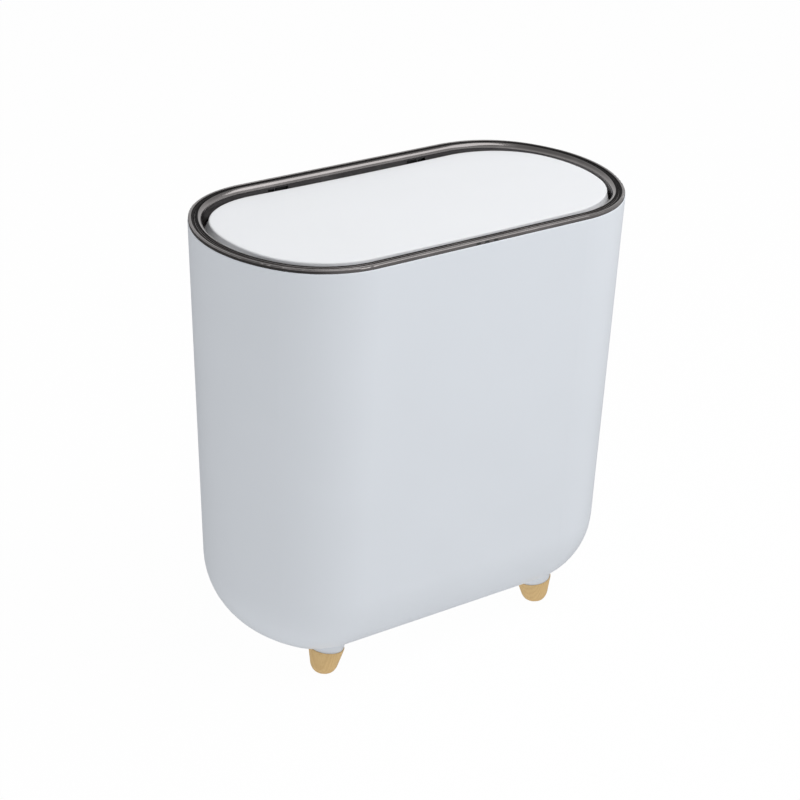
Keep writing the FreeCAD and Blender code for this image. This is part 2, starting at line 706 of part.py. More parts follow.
def hinge_arm():
    """Right-hand arm of the liner: tongue under the axis, upright behind it, knuckle, and a spring stop."""
    stop_back = hinge_y - TORSION_COIL_RADIUS - TORSION_WIRE_RADIUS - MOVING_GAP
    root = Vector(knuckle_start, arm_root, lid_bottom)
    upright_low = Vector(knuckle_start, hinge_y, lid_bottom)
    axis_start = Vector(knuckle_start, hinge_y, hinge_z)
    tongue = Part.makeBox(KNUCKLE_LENGTH, arm_back - arm_root, LINER_THICKNESS, root)
    stop = Part.makeBox(spring_end - knuckle_start, stop_back - arm_root, LINER_THICKNESS, root)
    upright = Part.makeBox(KNUCKLE_LENGTH, ARM_THICKNESS, hinge_z - lid_bottom, upright_low)
    barrel = Part.makeCylinder(KNUCKLE_RADIUS, KNUCKLE_LENGTH, axis_start, ACROSS)
    return joined(tongue, stop, upright, barrel)


def lid_liner():
    """Panel that closes the lid from below, with an upstanding rim, hinge arms and screw holes."""
    inset = LID_INSET + LID_WALL + SEAT_GAP
    rim_inset = inset + LID_EDGE_RADIUS
    liner = plate(inset, lid_bottom, liner_top)
    rim = sweep_round([
        (rim_inset, lid_bottom, 0),
        (rim_inset, liner_top + LINER_RIM_HEIGHT, 0),
        (rim_inset + LINER_RIM_WIDTH, liner_top + LINER_RIM_HEIGHT, 0),
        (rim_inset + LINER_RIM_WIDTH, lid_bottom, 0),
    ])
    liner = joined(liner, rim, hinge_arm(), mirrored(hinge_arm()))
    bore = pin_bore()
    hole = countersink(
        LID_SCREW_RADIUS, LINER_THICKNESS + CUT_OVERRUN, LID_SCREW_HEAD_RADIUS, LID_SCREW_HEAD_HEIGHT, SEAT_GAP
    )
    holes = [hole.translated(Vector(x, y, lid_bottom)) for x, y in lid_screw_places()]
    pilot = post(STRIKER_SCREW_RADIUS + SEAT_GAP, 0, latch_y, lid_bottom - CUT_OVERRUN, liner_top - SEAT_GAP)
    pilots = [pilot.translated(ACROSS * x) for x in (-STRIKER_SCREW_X, STRIKER_SCREW_X)]
    return one_solid(liner.cut([bore, mirrored(bore), *holes, *pilots]))


def lid_screws():
    """Countersunk screws from below through the liner into the cover's bosses."""
    length = LINER_THICKNESS + LID_SCREW_BITE
    screw = countersunk_screw(LID_SCREW_RADIUS, length, LID_SCREW_HEAD_RADIUS, LID_SCREW_HEAD_HEIGHT)
    placed = [screw.translated(Vector(x, y, lid_bottom)) for x, y in lid_screw_places()]
    return at_rest(Part.Compound(placed))


def striker_plate():
    """Steel plate under the front of the lid, countersunk for its two screws."""
    half_y = STRIKER_Y / 2
    flat = block(
        STRIKER_X / 2, latch_y - half_y, latch_y + half_y, striker_bottom, lid_bottom, STRIKER_CORNER_RADIUS
    )
    hole = countersink(
        STRIKER_SCREW_RADIUS, STRIKER_THICKNESS + CUT_OVERRUN,
        STRIKER_SCREW_HEAD_RADIUS, STRIKER_SCREW_HEAD_HEIGHT, SEAT_GAP,
    )
    holes = [hole.translated(Vector(x, latch_y, striker_bottom)) for x in (-STRIKER_SCREW_X, STRIKER_SCREW_X)]
    return one_solid(flat.cut(holes))


def striker_screws():
    """Two small countersunk screws that hold the striker plate to the liner."""
    length = STRIKER_THICKNESS + STRIKER_SCREW_BITE
    screw = countersunk_screw(
        STRIKER_SCREW_RADIUS, length, STRIKER_SCREW_HEAD_RADIUS, STRIKER_SCREW_HEAD_HEIGHT
    )
    places = [Vector(x, latch_y, striker_bottom) for x in (-STRIKER_SCREW_X, STRIKER_SCREW_X)]
    return at_rest(Part.Compound([screw.translated(place) for place in places]))


def track_face(shares, radius):
    """Outline on the plunger's front face, from shares of the block's half width and height."""
    corners = [(x * BLOCK_X / 2, block_bottom + z * BLOCK_HEIGHT, radius) for x, z in shares]
    front = latch_y - BLOCK_Y / 2
    return Part.Face(rounded_wire(corners, lambda point: Vector(point.x, front, point.y)))


def latch_plunger():
    """Plunger with a magnet pocket in its tip, a guided block and a heart-shaped cam track on the front."""
    stem = turned_solid([
        (0, block_bottom, 0),
        (STEM_RADIUS, block_bottom, 0),
        (STEM_RADIUS, stem_top, STEM_EDGE_RADIUS),
        (0, stem_top, 0),
    ]).translated(Vector(0, latch_y, 0))
    half_y = BLOCK_Y / 2
    guide = block(BLOCK_X / 2, latch_y - half_y, latch_y + half_y, block_bottom, block_top, BLOCK_EDGE_RADIUS)
    nub = post(SPRING_NUB_RADIUS, 0, latch_y, block_bottom - SPRING_NUB_HEIGHT, block_top)
    plunger = joined(stem, guide, nub)
    pocket_floor = stem_top + MAGNET_PROUD - MAGNET_HEIGHT
    pocket = post(MAGNET_RADIUS + SEAT_GAP, 0, latch_y, pocket_floor, stem_top + CUT_OVERRUN)
    inward = Vector(0, TRACK_DEPTH, 0)
    island = track_face(ISLAND_SHARES, ISLAND_RADIUS).extrude(inward)
    track = track_face(TRACK_SHARES, TRACK_RADIUS).extrude(inward).cut(island)
    return one_solid(plunger.cut([pocket, track]))


def latch_magnet():
    """Disc magnet in the plunger's tip."""
    low = magnet_top - MAGNET_HEIGHT
    return turned_solid([
        (0, low, 0),
        (MAGNET_RADIUS, low, MAGNET_EDGE_RADIUS),
        (MAGNET_RADIUS, magnet_top, MAGNET_EDGE_RADIUS),
        (0, magnet_top, 0),
    ]).translated(Vector(0, latch_y, 0))


def latch_housing():
    """Housing with screw ears, a cavity for the plunger and a channel for the cam wire, open below."""
    low = housing_bottom + CAP_THICKNESS
    front = latch_y + housing_front
    back = latch_y + housing_back
    shell = block(housing_half_x, front, back, low, flange_bottom, HOUSING_EDGE_RADIUS)
    ear_low = flange_bottom - EAR_THICKNESS
    ear_front = latch_y - EAR_RADIUS
    ear_back = latch_y + EAR_RADIUS
    ears = block(EAR_REACH, ear_front, ear_back, ear_low, flange_bottom, HOUSING_EDGE_RADIUS)
    cavity_front = latch_y - cavity_half_y
    cavity_back = latch_y + cavity_half_y
    mouth = low - CUT_OVERRUN
    cavity = block(cavity_half_x, cavity_front, cavity_back, mouth, housing_ceiling, BLOCK_EDGE_RADIUS)
    channel = Part.makeBox(
        2 * WIRE_SWING, WIRE_CHANNEL + cavity_half_y, housing_ceiling - mouth,
        Vector(-WIRE_SWING, cavity_front - WIRE_CHANNEL, mouth),
    )
    hole_top = flange_bottom + CUT_OVERRUN
    stem_hole = post(STEM_RADIUS + MOVING_GAP, 0, latch_y, housing_ceiling - CUT_OVERRUN, hole_top)
    screw_holes = [
        post(LATCH_SCREW_RADIUS + SEAT_GAP, x, latch_y, ear_low - CUT_OVERRUN, hole_top)
        for x in (-EAR_SCREW_X, EAR_SCREW_X)
    ]
    return one_solid(joined(shell, ears).cut([cavity, channel, stem_hole, *screw_holes]))


def wire_y():
    """Plan place of the cam wire, in the middle of its channel."""
    return latch_y - cavity_half_y - WIRE_CHANNEL / 2


def latch_cap():
    """Cap that closes the housing from below, with a plug, a spring nub and a socket for the cam wire."""
    low = housing_bottom
    seat = low + CAP_THICKNESS
    front = latch_y + housing_front
    back = latch_y + housing_back
    cap = block(housing_half_x, front, back, low, seat, HOUSING_EDGE_RADIUS)
    plug_x = cavity_half_x - SEAT_GAP
    plug_y = cavity_half_y - SEAT_GAP
    plug = block(plug_x, latch_y - plug_y, latch_y + plug_y, low, seat + CAP_PLUG, BLOCK_EDGE_RADIUS)
    nub = post(SPRING_NUB_RADIUS, 0, latch_y, low, seat + CAP_PLUG + SPRING_NUB_HEIGHT)
    socket = post(WIRE_RADIUS + SEAT_GAP, 0, wire_y(), low + CAP_THICKNESS / 2, seat + CUT_OVERRUN)
    return one_solid(joined(cap, plug, nub).cut(socket))


def latch_cam_wire():
    """Bent wire that stands in the cap and hooks its tip into the cleft of the cam track."""
    foot_end = Vector(0, wire_y(), housing_bottom + CAP_THICKNESS / 2)
    tip_z = block_bottom + CLEFT_SHARE * BLOCK_HEIGHT + WIRE_RADIUS + WIRE_TIP_GAP
    tip_y = latch_y - BLOCK_Y / 2 + TRACK_DEPTH - WIRE_TIP_GAP
    corner = Vector(0, foot_end.y, tip_z)
    bend_start = corner - UP * WIRE_BEND
    bend_end = corner + Vector(0, WIRE_BEND, 0)
    centre = Vector(0, bend_end.y, bend_start.z)
    bend_middle = centre + (corner - centre).normalize() * WIRE_BEND
    edges = [
        Part.LineSegment(foot_end, bend_start).toShape(),
        Part.Arc(bend_start, bend_middle, bend_end).toShape(),
        Part.LineSegment(bend_end, Vector(0, tip_y, tip_z)).toShape(),
    ]
    return wire_tube(edges, WIRE_RADIUS)


def latch_screws():
    """Two screws from below through the housing's ears into the ring's bosses."""
    screw = pan_screw(
        LATCH_SCREW_RADIUS, EAR_THICKNESS + LATCH_SCREW_BITE, LATCH_SCREW_HEAD_RADIUS, LATCH_SCREW_HEAD_HEIGHT
    ).rotated(ORIGIN, ACROSS, HALF_TURN)
    ear_low = flange_bottom - EAR_THICKNESS
    return Part.Compound([screw.translated(Vector(x, latch_y, ear_low)) for x in (-EAR_SCREW_X, EAR_SCREW_X)])


def return_edges():
    """Centre line of the latch's return spring, standing on the cap under the plunger, ends upright."""
    side = ACROSS
    ahead = Vector(0, 1, 0)
    low = housing_bottom + CAP_THICKNESS + CAP_PLUG
    high = block_bottom - MOVING_GAP
    end_rise = RETURN_LEAD + 2 * RETURN_WIRE_RADIUS
    pitch = (high - low - 2 * end_rise) / RETURN_TURNS
    centre = Vector(0, latch_y, low + end_rise)
    stations = coil_points(centre, side, ahead, UP, RETURN_COIL_RADIUS, pitch, 4 * RETURN_TURNS)
    turn = math.radians(QUARTER_TURN / 2)
    edges = []
    lead_in = Vector(0, latch_y, low + 2 * RETURN_WIRE_RADIUS)
    lead_in += (side * math.cos(turn) - ahead * math.sin(turn)) * RETURN_COIL_RADIUS
    lead_out = Vector(0, latch_y, high - 2 * RETURN_WIRE_RADIUS)
    lead_out += (side * math.cos(turn) + ahead * math.sin(turn)) * RETURN_COIL_RADIUS
    edges.append(Part.LineSegment(Vector(lead_in.x, lead_in.y, low), lead_in).toShape())
    stations = [(lead_in, UP)] + stations + [(lead_out, UP)]
    for (start, start_way), (end, end_way) in zip(stations, stations[1:]):
        edges.extend(biarc(start, start_way, end, end_way))
    edges.append(Part.LineSegment(lead_out, Vector(lead_out.x, lead_out.y, high)).toShape())
    return edges


def main():
    os.makedirs("parts", exist_ok=True)
    torsion = torsion_edges()
    torsion_spring = wire_tube(torsion, TORSION_WIRE_RADIUS)
    coil = return_edges()
    nodes = {
        "body_shell": body_shell(),
        "foot_screws": foot_screws(),
        "rim_ring": rim_ring(),
        "hinge_pin_right": hinge_pin(),
        "hinge_pin_left": mirrored(hinge_pin()),
        "hinge_spring_right": torsion_spring,
        "hinge_spring_left": mirrored(torsion_spring),
        "lid_cover": at_rest(lid_cover()),
        "lid_liner": at_rest(lid_liner()),
        "lid_screws": lid_screws(),
        "striker_plate": at_rest(striker_plate()),
        "striker_screws": striker_screws(),
        "latch_housing": latch_housing(),
        "latch_cap": latch_cap(),
        "latch_plunger": latch_plunger(),
        "latch_magnet": latch_magnet(),
        "latch_cam_wire": latch_cam_wire(),
        "latch_spring": wire_tube(coil, RETURN_WIRE_RADIUS),
        "latch_screws": latch_screws(),
    }
    for name, sides in FEET.items():
        nodes[name] = standing_foot(*sides)
    for name, shape in nodes.items():
        shape.exportStep("parts/" + name + ".step")
    torsion_gap = least_gap(torsion, TORSION_WIRE_RADIUS, 2 * math.pi * TORSION_COIL_RADIUS)
    return_gap = least_gap(coil, RETURN_WIRE_RADIUS, 2 * math.pi * RETURN_COIL_RADIUS)
    print("least gap between the turns of a hinge spring: %.2f mm" % torsion_gap)
    print("least gap between the turns of the latch spring: %.2f mm" % return_gap)
    print("height of the lid press axis: %.2f mm, lever to the latch: %.2f mm" % (hinge_z, latch_lever))


main()
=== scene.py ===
"""Looks of a press-lid bathroom bin: finishes, the finer forms of its lid, ring and feet, and a studio."""
import math

import bmesh
import bpy
from bpy.props import FloatProperty, FloatVectorProperty, IntProperty, PointerProperty
from mathutils import Matrix, Vector


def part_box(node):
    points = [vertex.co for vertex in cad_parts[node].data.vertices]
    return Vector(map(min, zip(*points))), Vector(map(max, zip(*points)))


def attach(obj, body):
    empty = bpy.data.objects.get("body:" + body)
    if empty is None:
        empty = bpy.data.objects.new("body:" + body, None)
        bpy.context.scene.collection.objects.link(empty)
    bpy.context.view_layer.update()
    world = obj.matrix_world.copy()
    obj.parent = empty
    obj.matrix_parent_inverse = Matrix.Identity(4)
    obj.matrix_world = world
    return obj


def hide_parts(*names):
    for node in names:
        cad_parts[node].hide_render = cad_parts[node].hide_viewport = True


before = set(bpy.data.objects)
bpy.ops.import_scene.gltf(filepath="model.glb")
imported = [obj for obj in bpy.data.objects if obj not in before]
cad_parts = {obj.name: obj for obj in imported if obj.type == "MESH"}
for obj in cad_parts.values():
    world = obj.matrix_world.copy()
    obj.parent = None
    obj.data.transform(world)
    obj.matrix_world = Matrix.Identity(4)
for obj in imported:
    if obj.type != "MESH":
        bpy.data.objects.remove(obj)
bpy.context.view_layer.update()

bl_info = {
    "name": "Press-lid bathroom bin",
    "version": (1, 0, 0),
    "blender": (4, 5, 0),
    "location": "View3D > Sidebar > Bin",
    "description": "Finishes, finer forms and studio for a press-lid bathroom bin on wooden feet",
    "category": "Object",
}

MM = 0.001
SHELL_LOW, SHELL_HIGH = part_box("body_shell")
RING_LOW, RING_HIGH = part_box("rim_ring")
FEET = {
    "foot_front_left": (-1, -1),
    "foot_front_right": (1, -1),
    "foot_back_left": (-1, 1),
    "foot_back_right": (1, 1),
}
SCREWS = ("foot_screws", "lid_screws", "striker_screws", "latch_screws")
HINGE_WIRES = ("hinge_spring_left", "hinge_spring_right")
LATCH_WIRES = ("latch_spring", "latch_cam_wire")
HINGE_PINS = ("hinge_pin_left", "hinge_pin_right")

# Steps along rounded sections, and loops of the lid's top as shares of its outline
SHOULDER_STEPS = 16
EDGE_STEPS = 8
SIDE_STEPS = 6
BOWL_STEPS = 12
CLIMB_STEPS = 6
TURN_STEPS = 64
TOP_LOOPS = (0.97, 0.9, 0.75, 0.55, 0.3, 0.08)

# Back of the ring's shoulder as shares of its reach, and the height of the lid's inner side in walls
SHOULDER_FOOT = 0.2
SHOULDER_BROW = 0.1
LID_INSIDE = 2

# Collar of a foot: bevel as a share of its wall, middle of the bevel as a share of it, and depth in bevels
COLLAR_BEVEL = 0.5
BEVEL_MIDDLE = 0.3
COLLAR_DEPTH = 6

# Sockets of a Mix node: its two colours, and the colour that it gives
MIX_FIRST = 6
MIX_SECOND = 7
MIX_RESULT = 2

# Noise lies evenly about this value
NOISE_MEAN = 0.5

# Moulded plastic: what its skin and its flow add to the roughness, and the spots of the shell's darkening towards its
# foot as a share of the flow's
SKIN_DULLING = 0.10
FLOW_DULLING = 0.08
DARKENING_SPOTS = 0.2

# Plated metal: stains by size, share and shade, what scratches and stains add to the roughness, and long scratches
STAIN_SIZE = 20
STAIN_SHARE = 0.35
STAIN_SHADE = 0.72
SCRATCH_DULLING = 0.16
STAIN_DULLING = 0.08
BRUSHED_ALONG = (60.0, 1.0, 1.0)
DRAWN_ALONG = (40.0, 1.0, 1.0)

# Wood: bend and slant of the growth rings, where early wood, late wood and open grain lie, and what fibres add
BEND_SIZE = 8
BEND_STRETCH = (1.0, 1.0, 3.0)
BEND_REACH = 2
RING_SLANT = 0.6
EARLY_WOOD = (0.15, 0.85)
LATE_WOOD = (0.86, 1.0)
OPEN_GRAIN = (0.35, 0.70)
GROWTH_SHARE = 0.5
FIBRE_DULLING = 0.15

# Ring: patches of haze by size, edges and shade, what the painted shade on the crest adds to the roughness, and specks
# on the painted shade in the groove
HAZE_SIZE = 3
HAZE_EDGES = (0.45, 0.75)
HAZE_SHADE = 0.8
CREST_SHADE_DULLING = 0.6
SPECK_SIZE = 0.1
SPECK_SHADE = 2

# Press marks: roundings as shares of their width and height, and scuffs by size, shade and roughness
MARK_CORNER = 0.45
MARK_BRIM = 0.7
MARK_CORNER_STEPS = 6
MARK_BRIM_STEPS = 4
SCUFF_SIZE = 0.4
SCUFF_SHADE = 2.5
SCUFF_DULLING = 0.15

# Studio: way to the front over the floor, where the mirrored floor and sky change, and the film's width in millimetres
FRONT_WAY = (0.6, -0.8)
FLOOR_RISE = (0.1, 0.65)
SKY_RISE = (0.1, 0.8)
FILM_WIDTH = 36.0


def colour_prop(name, description, default):
    """Linear colour property with sliders from black to white."""
    return FloatVectorProperty(
        name=name, description=description, default=default, size=3, min=0.0, max=1.0, subtype="COLOR"
    )


def length_prop(name, description, default):
    """Length property in metres."""
    return FloatProperty(name=name, description=description, default=default, min=0.0, unit="LENGTH", precision=5)


def factor_prop(name, description, default):
    """Share between none and all."""
    return FloatProperty(name=name, description=description, default=default, min=0.0, max=1.0, subtype="FACTOR")


class PlanSettings(bpy.types.PropertyGroup):
    """Oval plans of the rim and of the lid's top: straight sides, corner arcs and flatter end arcs."""

    rim_corner: length_prop("Rim corner", "Radius of the rim's corner arcs", 65.0 * MM)
    rim_tip: length_prop("Rim tip", "Radius of the rim's end arcs", 94.5 * MM)
    top_half_length: length_prop("Top half length", "Half the length of the lid's top", 135.9 * MM)
    top_half_width: length_prop("Top half width", "Half the width of the lid's top", 69.0 * MM)
    top_corner: length_prop("Top corner", "Radius of the corner arcs of the lid's top", 56.0 * MM)
    top_tip: length_prop("Top tip", "Radius of the end arcs of the lid's top", 101.5 * MM)
    top_shift: length_prop("Top shift", "How far the lid's top lies to the front", 1.0 * MM)
    arc_steps: IntProperty(name="Arc steps", description="Points on each arc and each side", default=28, min=4)


class LidSettings(bpy.types.PropertyGroup):
    """Form of the lid cover at rest."""

    foot_inset: length_prop("Foot inset", "Lower edge of the lid's side from the rim's outline", 10.0 * MM)
    wall: length_prop("Wall", "Thickness of the lid's side at its lower edge", 2.0 * MM)
    foot_height: length_prop("Foot height", "Lower edge of the lid at the hinge, above the floor", 288.9 * MM)
    top_height: length_prop("Top height", "Middle of the lid's top at the hinge, above the floor", 296.3 * MM)
    hinge_place: length_prop("Hinge place", "Hinge axis behind the middle of the bin", 75.1 * MM)
    foot_tilt: FloatProperty(
        name="Foot tilt", description="Rise of the lower edge to the front", default=math.radians(1.5), subtype="ANGLE"
    )
    top_tilt: FloatProperty(
        name="Top tilt", description="Rise of the top to the front", default=math.radians(1.62), subtype="ANGLE"
    )
    dish: length_prop("Dish", "How far the ends of the top rise over its middle", 1.4 * MM)
    edge_radius: length_prop("Edge radius", "Rounding of the top's edge", 1.2 * MM)


class FootSettings(bpy.types.PropertyGroup):
    """Form of a turned foot."""

    across: length_prop("Across", "Foot's middle from the middle of the bin, along its length", 89.0 * MM)
    deep: length_prop("Deep", "Foot's middle from the middle of the bin, along its width", 40.0 * MM)
    splay: FloatProperty(
        name="Splay", description="Lean of a foot to the end of the bin", default=math.radians(8.0), subtype="ANGLE"
    )
    collar_radius: length_prop("Collar radius", "Radius of the foot's top, round its cuff", 12.1 * MM)
    collar_wall: length_prop("Collar wall", "Wood round the cuff", 0.6 * MM)
    height: length_prop("Height", "Top of the foot above the floor", 17.6 * MM)
    tip_radius: length_prop("Tip radius", "Radius where the rounded tip starts", 9.3 * MM)
    tip_height: length_prop("Tip height", "Height where the rounded tip starts", 5.2 * MM)
    pad_radius: length_prop("Pad radius", "Radius of the tip's flat before the taper is taken off", 5.6 * MM)
    grind: length_prop("Grind", "Wood taken off so that the splayed foot stands flat", 1.0 * MM)


class MouldingSettings(bpy.types.PropertyGroup):
    """White mouldings of the shell and the lid."""

    shell_colour: colour_prop("Shell", "Colour of the shell's plastic", (0.795, 0.835, 0.890))
    lid_colour: colour_prop("Lid", "Colour of the lid cover's plastic", (0.845, 0.860, 0.885))
    liner_colour: colour_prop("Liner", "Colour of the lid liner's plastic", (0.030, 0.029, 0.029))
    shell_roughness: factor_prop("Shell roughness", "How dull the shell is", 0.42)
    lid_roughness: factor_prop("Lid roughness", "How dull the lid is", 0.36)
    liner_roughness: factor_prop("Liner roughness", "How dull the liner is", 0.55)
    lid_glow_share: factor_prop("Lid glow share", "How much light wanders through the lid's plastic", 0.5)
    lid_glow_depth: length_prop("Lid glow depth", "How far that light wanders", 3 * MM)
    skin_size: length_prop("Skin size", "Size of the fine texture that the mould leaves", 0.55 * MM)
    skin_depth: length_prop("Skin depth", "Depth of that fine texture", 0.012 * MM)
    flow_size: length_prop("Flow size", "Size of the slow changes of tone in the plastic", 60 * MM)
    flow_share: factor_prop("Flow share", "How far the tone changes", 0.03)
    # The shell turns darker in spots towards its underside; these three settings give the colour, share and reach of
    # that darkening
    darkening_colour: colour_prop("Dust", "Colour of the dust that settles in corners", (0.50, 0.49, 0.46))
    darkening_share: factor_prop("Dust share", "How much dust there is at the foot of the shell", 0.10)
    darkening_height: length_prop("Dust height", "How far the dust reaches above the shell's underside", 16 * MM)


class RingSettings(bpy.types.PropertyGroup):
    """Smoked chrome on the ring, painted shade on its crest and in its groove, and its press marks."""

    colour: colour_prop("Ring", "Colour of the ring's plating", (0.230, 0.216, 0.214))
    # Painted shade: this colour darkens the ring's highest line and the thin sheet laid in the groove, where the groove
    # lies in shade; the groove and lip settings below place that sheet
    groove_shade_colour: colour_prop("Groove", "Colour of the groove, where the plating is thin", (0.010, 0.009, 0.009))
    groove_roughness: factor_prop("Groove roughness", "How dull the groove is", 0.6)
    groove_gloss: factor_prop("Groove gloss", "How strongly the groove mirrors", 0.15)
    groove_inner: length_prop("Groove inner", "Inner edge of the groove's dull layer from the rim's outline", 4.3 * MM)
    # Painted shade: where the dark band on the ring's highest line starts and where it is full
    crest_shade_low: length_prop("Crest low", "Where the dull crest starts, below the ring's highest line", 0.15 * MM)
    crest_shade_high: length_prop("Crest high", "Where the dull crest is full, below the ring's highest line", 0.10 * MM)
    groove_drop: length_prop("Groove drop", "Groove's floor below the ring's crest", 1.2 * MM)
    groove_skin: length_prop("Groove skin", "How far the dull layer stands out of the ring", 0.05 * MM)
    lip_middle: length_prop("Lip middle", "Middle of the lip's inner rounding from the rim's outline", 1.8 * MM)
    lip_drop: length_prop("Lip drop", "Middle of the lip's inner rounding below the ring's crest", 1.0 * MM)
    lip_round: length_prop("Lip round", "Radius of the lip's inner rounding", 0.8 * MM)
    lip_climb: FloatProperty(
        name="Lip climb",
        description="How far the dull layer climbs that rounding",
        default=math.radians(52),
        subtype="ANGLE",
    )
    roughness: factor_prop("Roughness", "How dull the ring is", 0.17)
    ripple_size: length_prop("Ripple size", "Size of the slight ripple in the gloss", 9 * MM)
    ripple_depth: length_prop("Ripple depth", "Depth of that ripple", 0.012 * MM)
    haze_share: factor_prop("Haze share", "How much handling dulls the gloss in patches", 0.10)
    shoulder_outer: length_prop("Shoulder outer", "Outer edge of the round shoulder from the rim's outline", 5.7 * MM)
    shoulder_inner: length_prop("Shoulder inner", "Inner edge of the round shoulder from the rim's outline", 9.15 * MM)
    shoulder_drop: length_prop("Shoulder drop", "Top of the round shoulder below the ring's crest", 0.04 * MM)
    mark_colour: colour_prop("Mark", "Colour of the press marks", (0.006, 0.006, 0.006))
    mark_roughness: factor_prop("Mark roughness", "How dull the press marks are", 0.30)
    mark_count: IntProperty(name="Marks", description="Number of press marks", default=3, min=1)
    mark_length: length_prop("Mark length", "Length of a press mark along the ring", 3.2 * MM)
    mark_width: length_prop("Mark width", "Height of a press mark on the ring's front", 1.2 * MM)
    mark_height: length_prop("Mark height", "How far a press mark stands out of the ring", 0.15 * MM)
    mark_pitch: length_prop("Mark pitch", "Distance between neighbouring press marks", 6.6 * MM)
    mark_drop: length_prop("Mark drop", "Middle of the press marks below the ring's crest", 1.6 * MM)


class WoodSettings(bpy.types.PropertyGroup):
    """Turned wooden feet."""

    pale_colour: colour_prop("Pale wood", "Colour of the early wood", (0.83, 0.580, 0.265))
    dark_colour: colour_prop("Dark wood", "Colour of the late wood and the pores", (0.72, 0.475, 0.205))
    roughness: factor_prop("Roughness", "How dull the oiled wood is", 0.48)
    ring_width: length_prop("Ring width", "Width of a growth ring", 1.7 * MM)
    fibre_width: length_prop("Fibre width", "Width of a fibre", 0.35 * MM)
    fibre_length: length_prop("Fibre length", "Length of a fibre", 9 * MM)
    grain_depth: length_prop("Grain depth", "Depth of the open grain", 0.03 * MM)


class MetalSettings(bpy.types.PropertyGroup):
    """Screws, pins, springs, striker plate and magnet."""

    zinc_colour: colour_prop("Zinc", "Colour of the plated screws and pins", (0.56, 0.57, 0.58))
    wire_colour: colour_prop("Wire", "Colour of the spring wire", (0.36, 0.36, 0.37))
    plate_colour: colour_prop("Plate", "Colour of the striker plate", (0.50, 0.51, 0.52))
    nickel_colour: colour_prop("Nickel", "Colour of the plated magnet", (0.66, 0.64, 0.60))
    screw_roughness: factor_prop("Screw roughness", "How dull the screws are", 0.30)
    pin_roughness: factor_prop("Pin roughness", "How dull the hinge pins are", 0.26)
    wire_roughness: factor_prop("Wire roughness", "How dull the spring wire is", 0.32)
    plate_roughness: factor_prop("Plate roughness", "How dull the striker plate is", 0.34)
    nickel_roughness: factor_prop("Nickel roughness", "How dull the magnet is", 0.16)
    brush_width: length_prop("Brush width", "Width of the scratches that brushing leaves", 0.12 * MM)
    brush_depth: length_prop("Brush depth", "Depth of those scratches", 0.004 * MM)


class LatchSettings(bpy.types.PropertyGroup):
    """Plastic pieces of the push latch."""

    housing_colour: colour_prop("Housing", "Colour of the housing and its cap", (0.045, 0.047, 0.050))
    plunger_colour: colour_prop("Plunger", "Colour of the plunger", (0.70, 0.70, 0.66))
    housing_roughness: factor_prop("Housing roughness", "How dull the housing is", 0.50)
    plunger_roughness: factor_prop("Plunger roughness", "How dull the plunger is", 0.40)


class StudioSettings(bpy.types.PropertyGroup):
    """Camera, light and floor."""

    azimuth: FloatProperty(
        name="Azimuth", description="Camera round the bin", default=math.radians(-35.6), subtype="ANGLE"
    )
    elevation: FloatProperty(
        name="Elevation", description="Camera above the horizon", default=math.radians(25.38), subtype="ANGLE"
    )
    roll: FloatProperty(
        name="Roll", description="Camera about its line of sight", default=math.radians(-1.725), subtype="ANGLE"
    )
    distance: length_prop("Distance", "Camera from the point that it looks at", 1481.2 * MM)
    aside: FloatProperty(
        name="Aside", description="Point looked at, to the right of the axis", default=-3.4 * MM, unit="LENGTH"
    )
    height: length_prop("Height", "Point looked at, above the floor", 159.1 * MM)
    lens: FloatProperty(name="Lens", description="Focal length in millimetres", default=100.0, min=1.0)
    floor_size: length_prop("Floor size", "Half the side of the floor", 9.0)
    floor_colour: colour_prop("Floor", "Colour of the floor", (0.93, 0.93, 0.93))
    floor_roughness: factor_prop("Floor roughness", "How dull the floor is", 0.9)
    floor_white: factor_prop("Floor white", "How far the floor is seen as plain white", 0.975)
    floor_lift: factor_prop("Floor lift", "How far the floor lights the bin by itself", 0.75)
    floor_dim: FloatProperty(name="Floor dim", description="Floor as mirrored from the left", default=0.15, min=0.0)
    floor_lit: FloatProperty(name="Floor lit", description="Floor as mirrored from the front", default=0.62, min=0.0)
    sky_level: FloatProperty(name="Sky level", description="Even light from all round", default=0.40, min=0.0)
    sky_low: FloatProperty(name="Sky low", description="Sky as mirrored near the horizon", default=1.1, min=0.0)
    sky_high: FloatProperty(name="Sky high", description="Sky as mirrored overhead", default=0.45, min=0.0)
    key_power: FloatProperty(name="Key power", description="Power of the main lamp in watts", default=26.0, min=0.0)
    key_size: length_prop("Key size", "Side of the main lamp", 1.8)
    key_place: FloatVectorProperty(
        name="Key place", description="Place of the main lamp", default=(0.50, -0.60, 1.80), size=3, unit="LENGTH"
    )
    fill_power: FloatProperty(name="Fill power", description="Power of the side lamp in watts", default=2.0, min=0.0)
    fill_size: length_prop("Fill size", "Side of the side lamp", 1.2)
    fill_place: FloatVectorProperty(
        name="Fill place", description="Place of the side lamp", default=(-1.20, 1.50, 0.70), size=3, unit="LENGTH"
    )


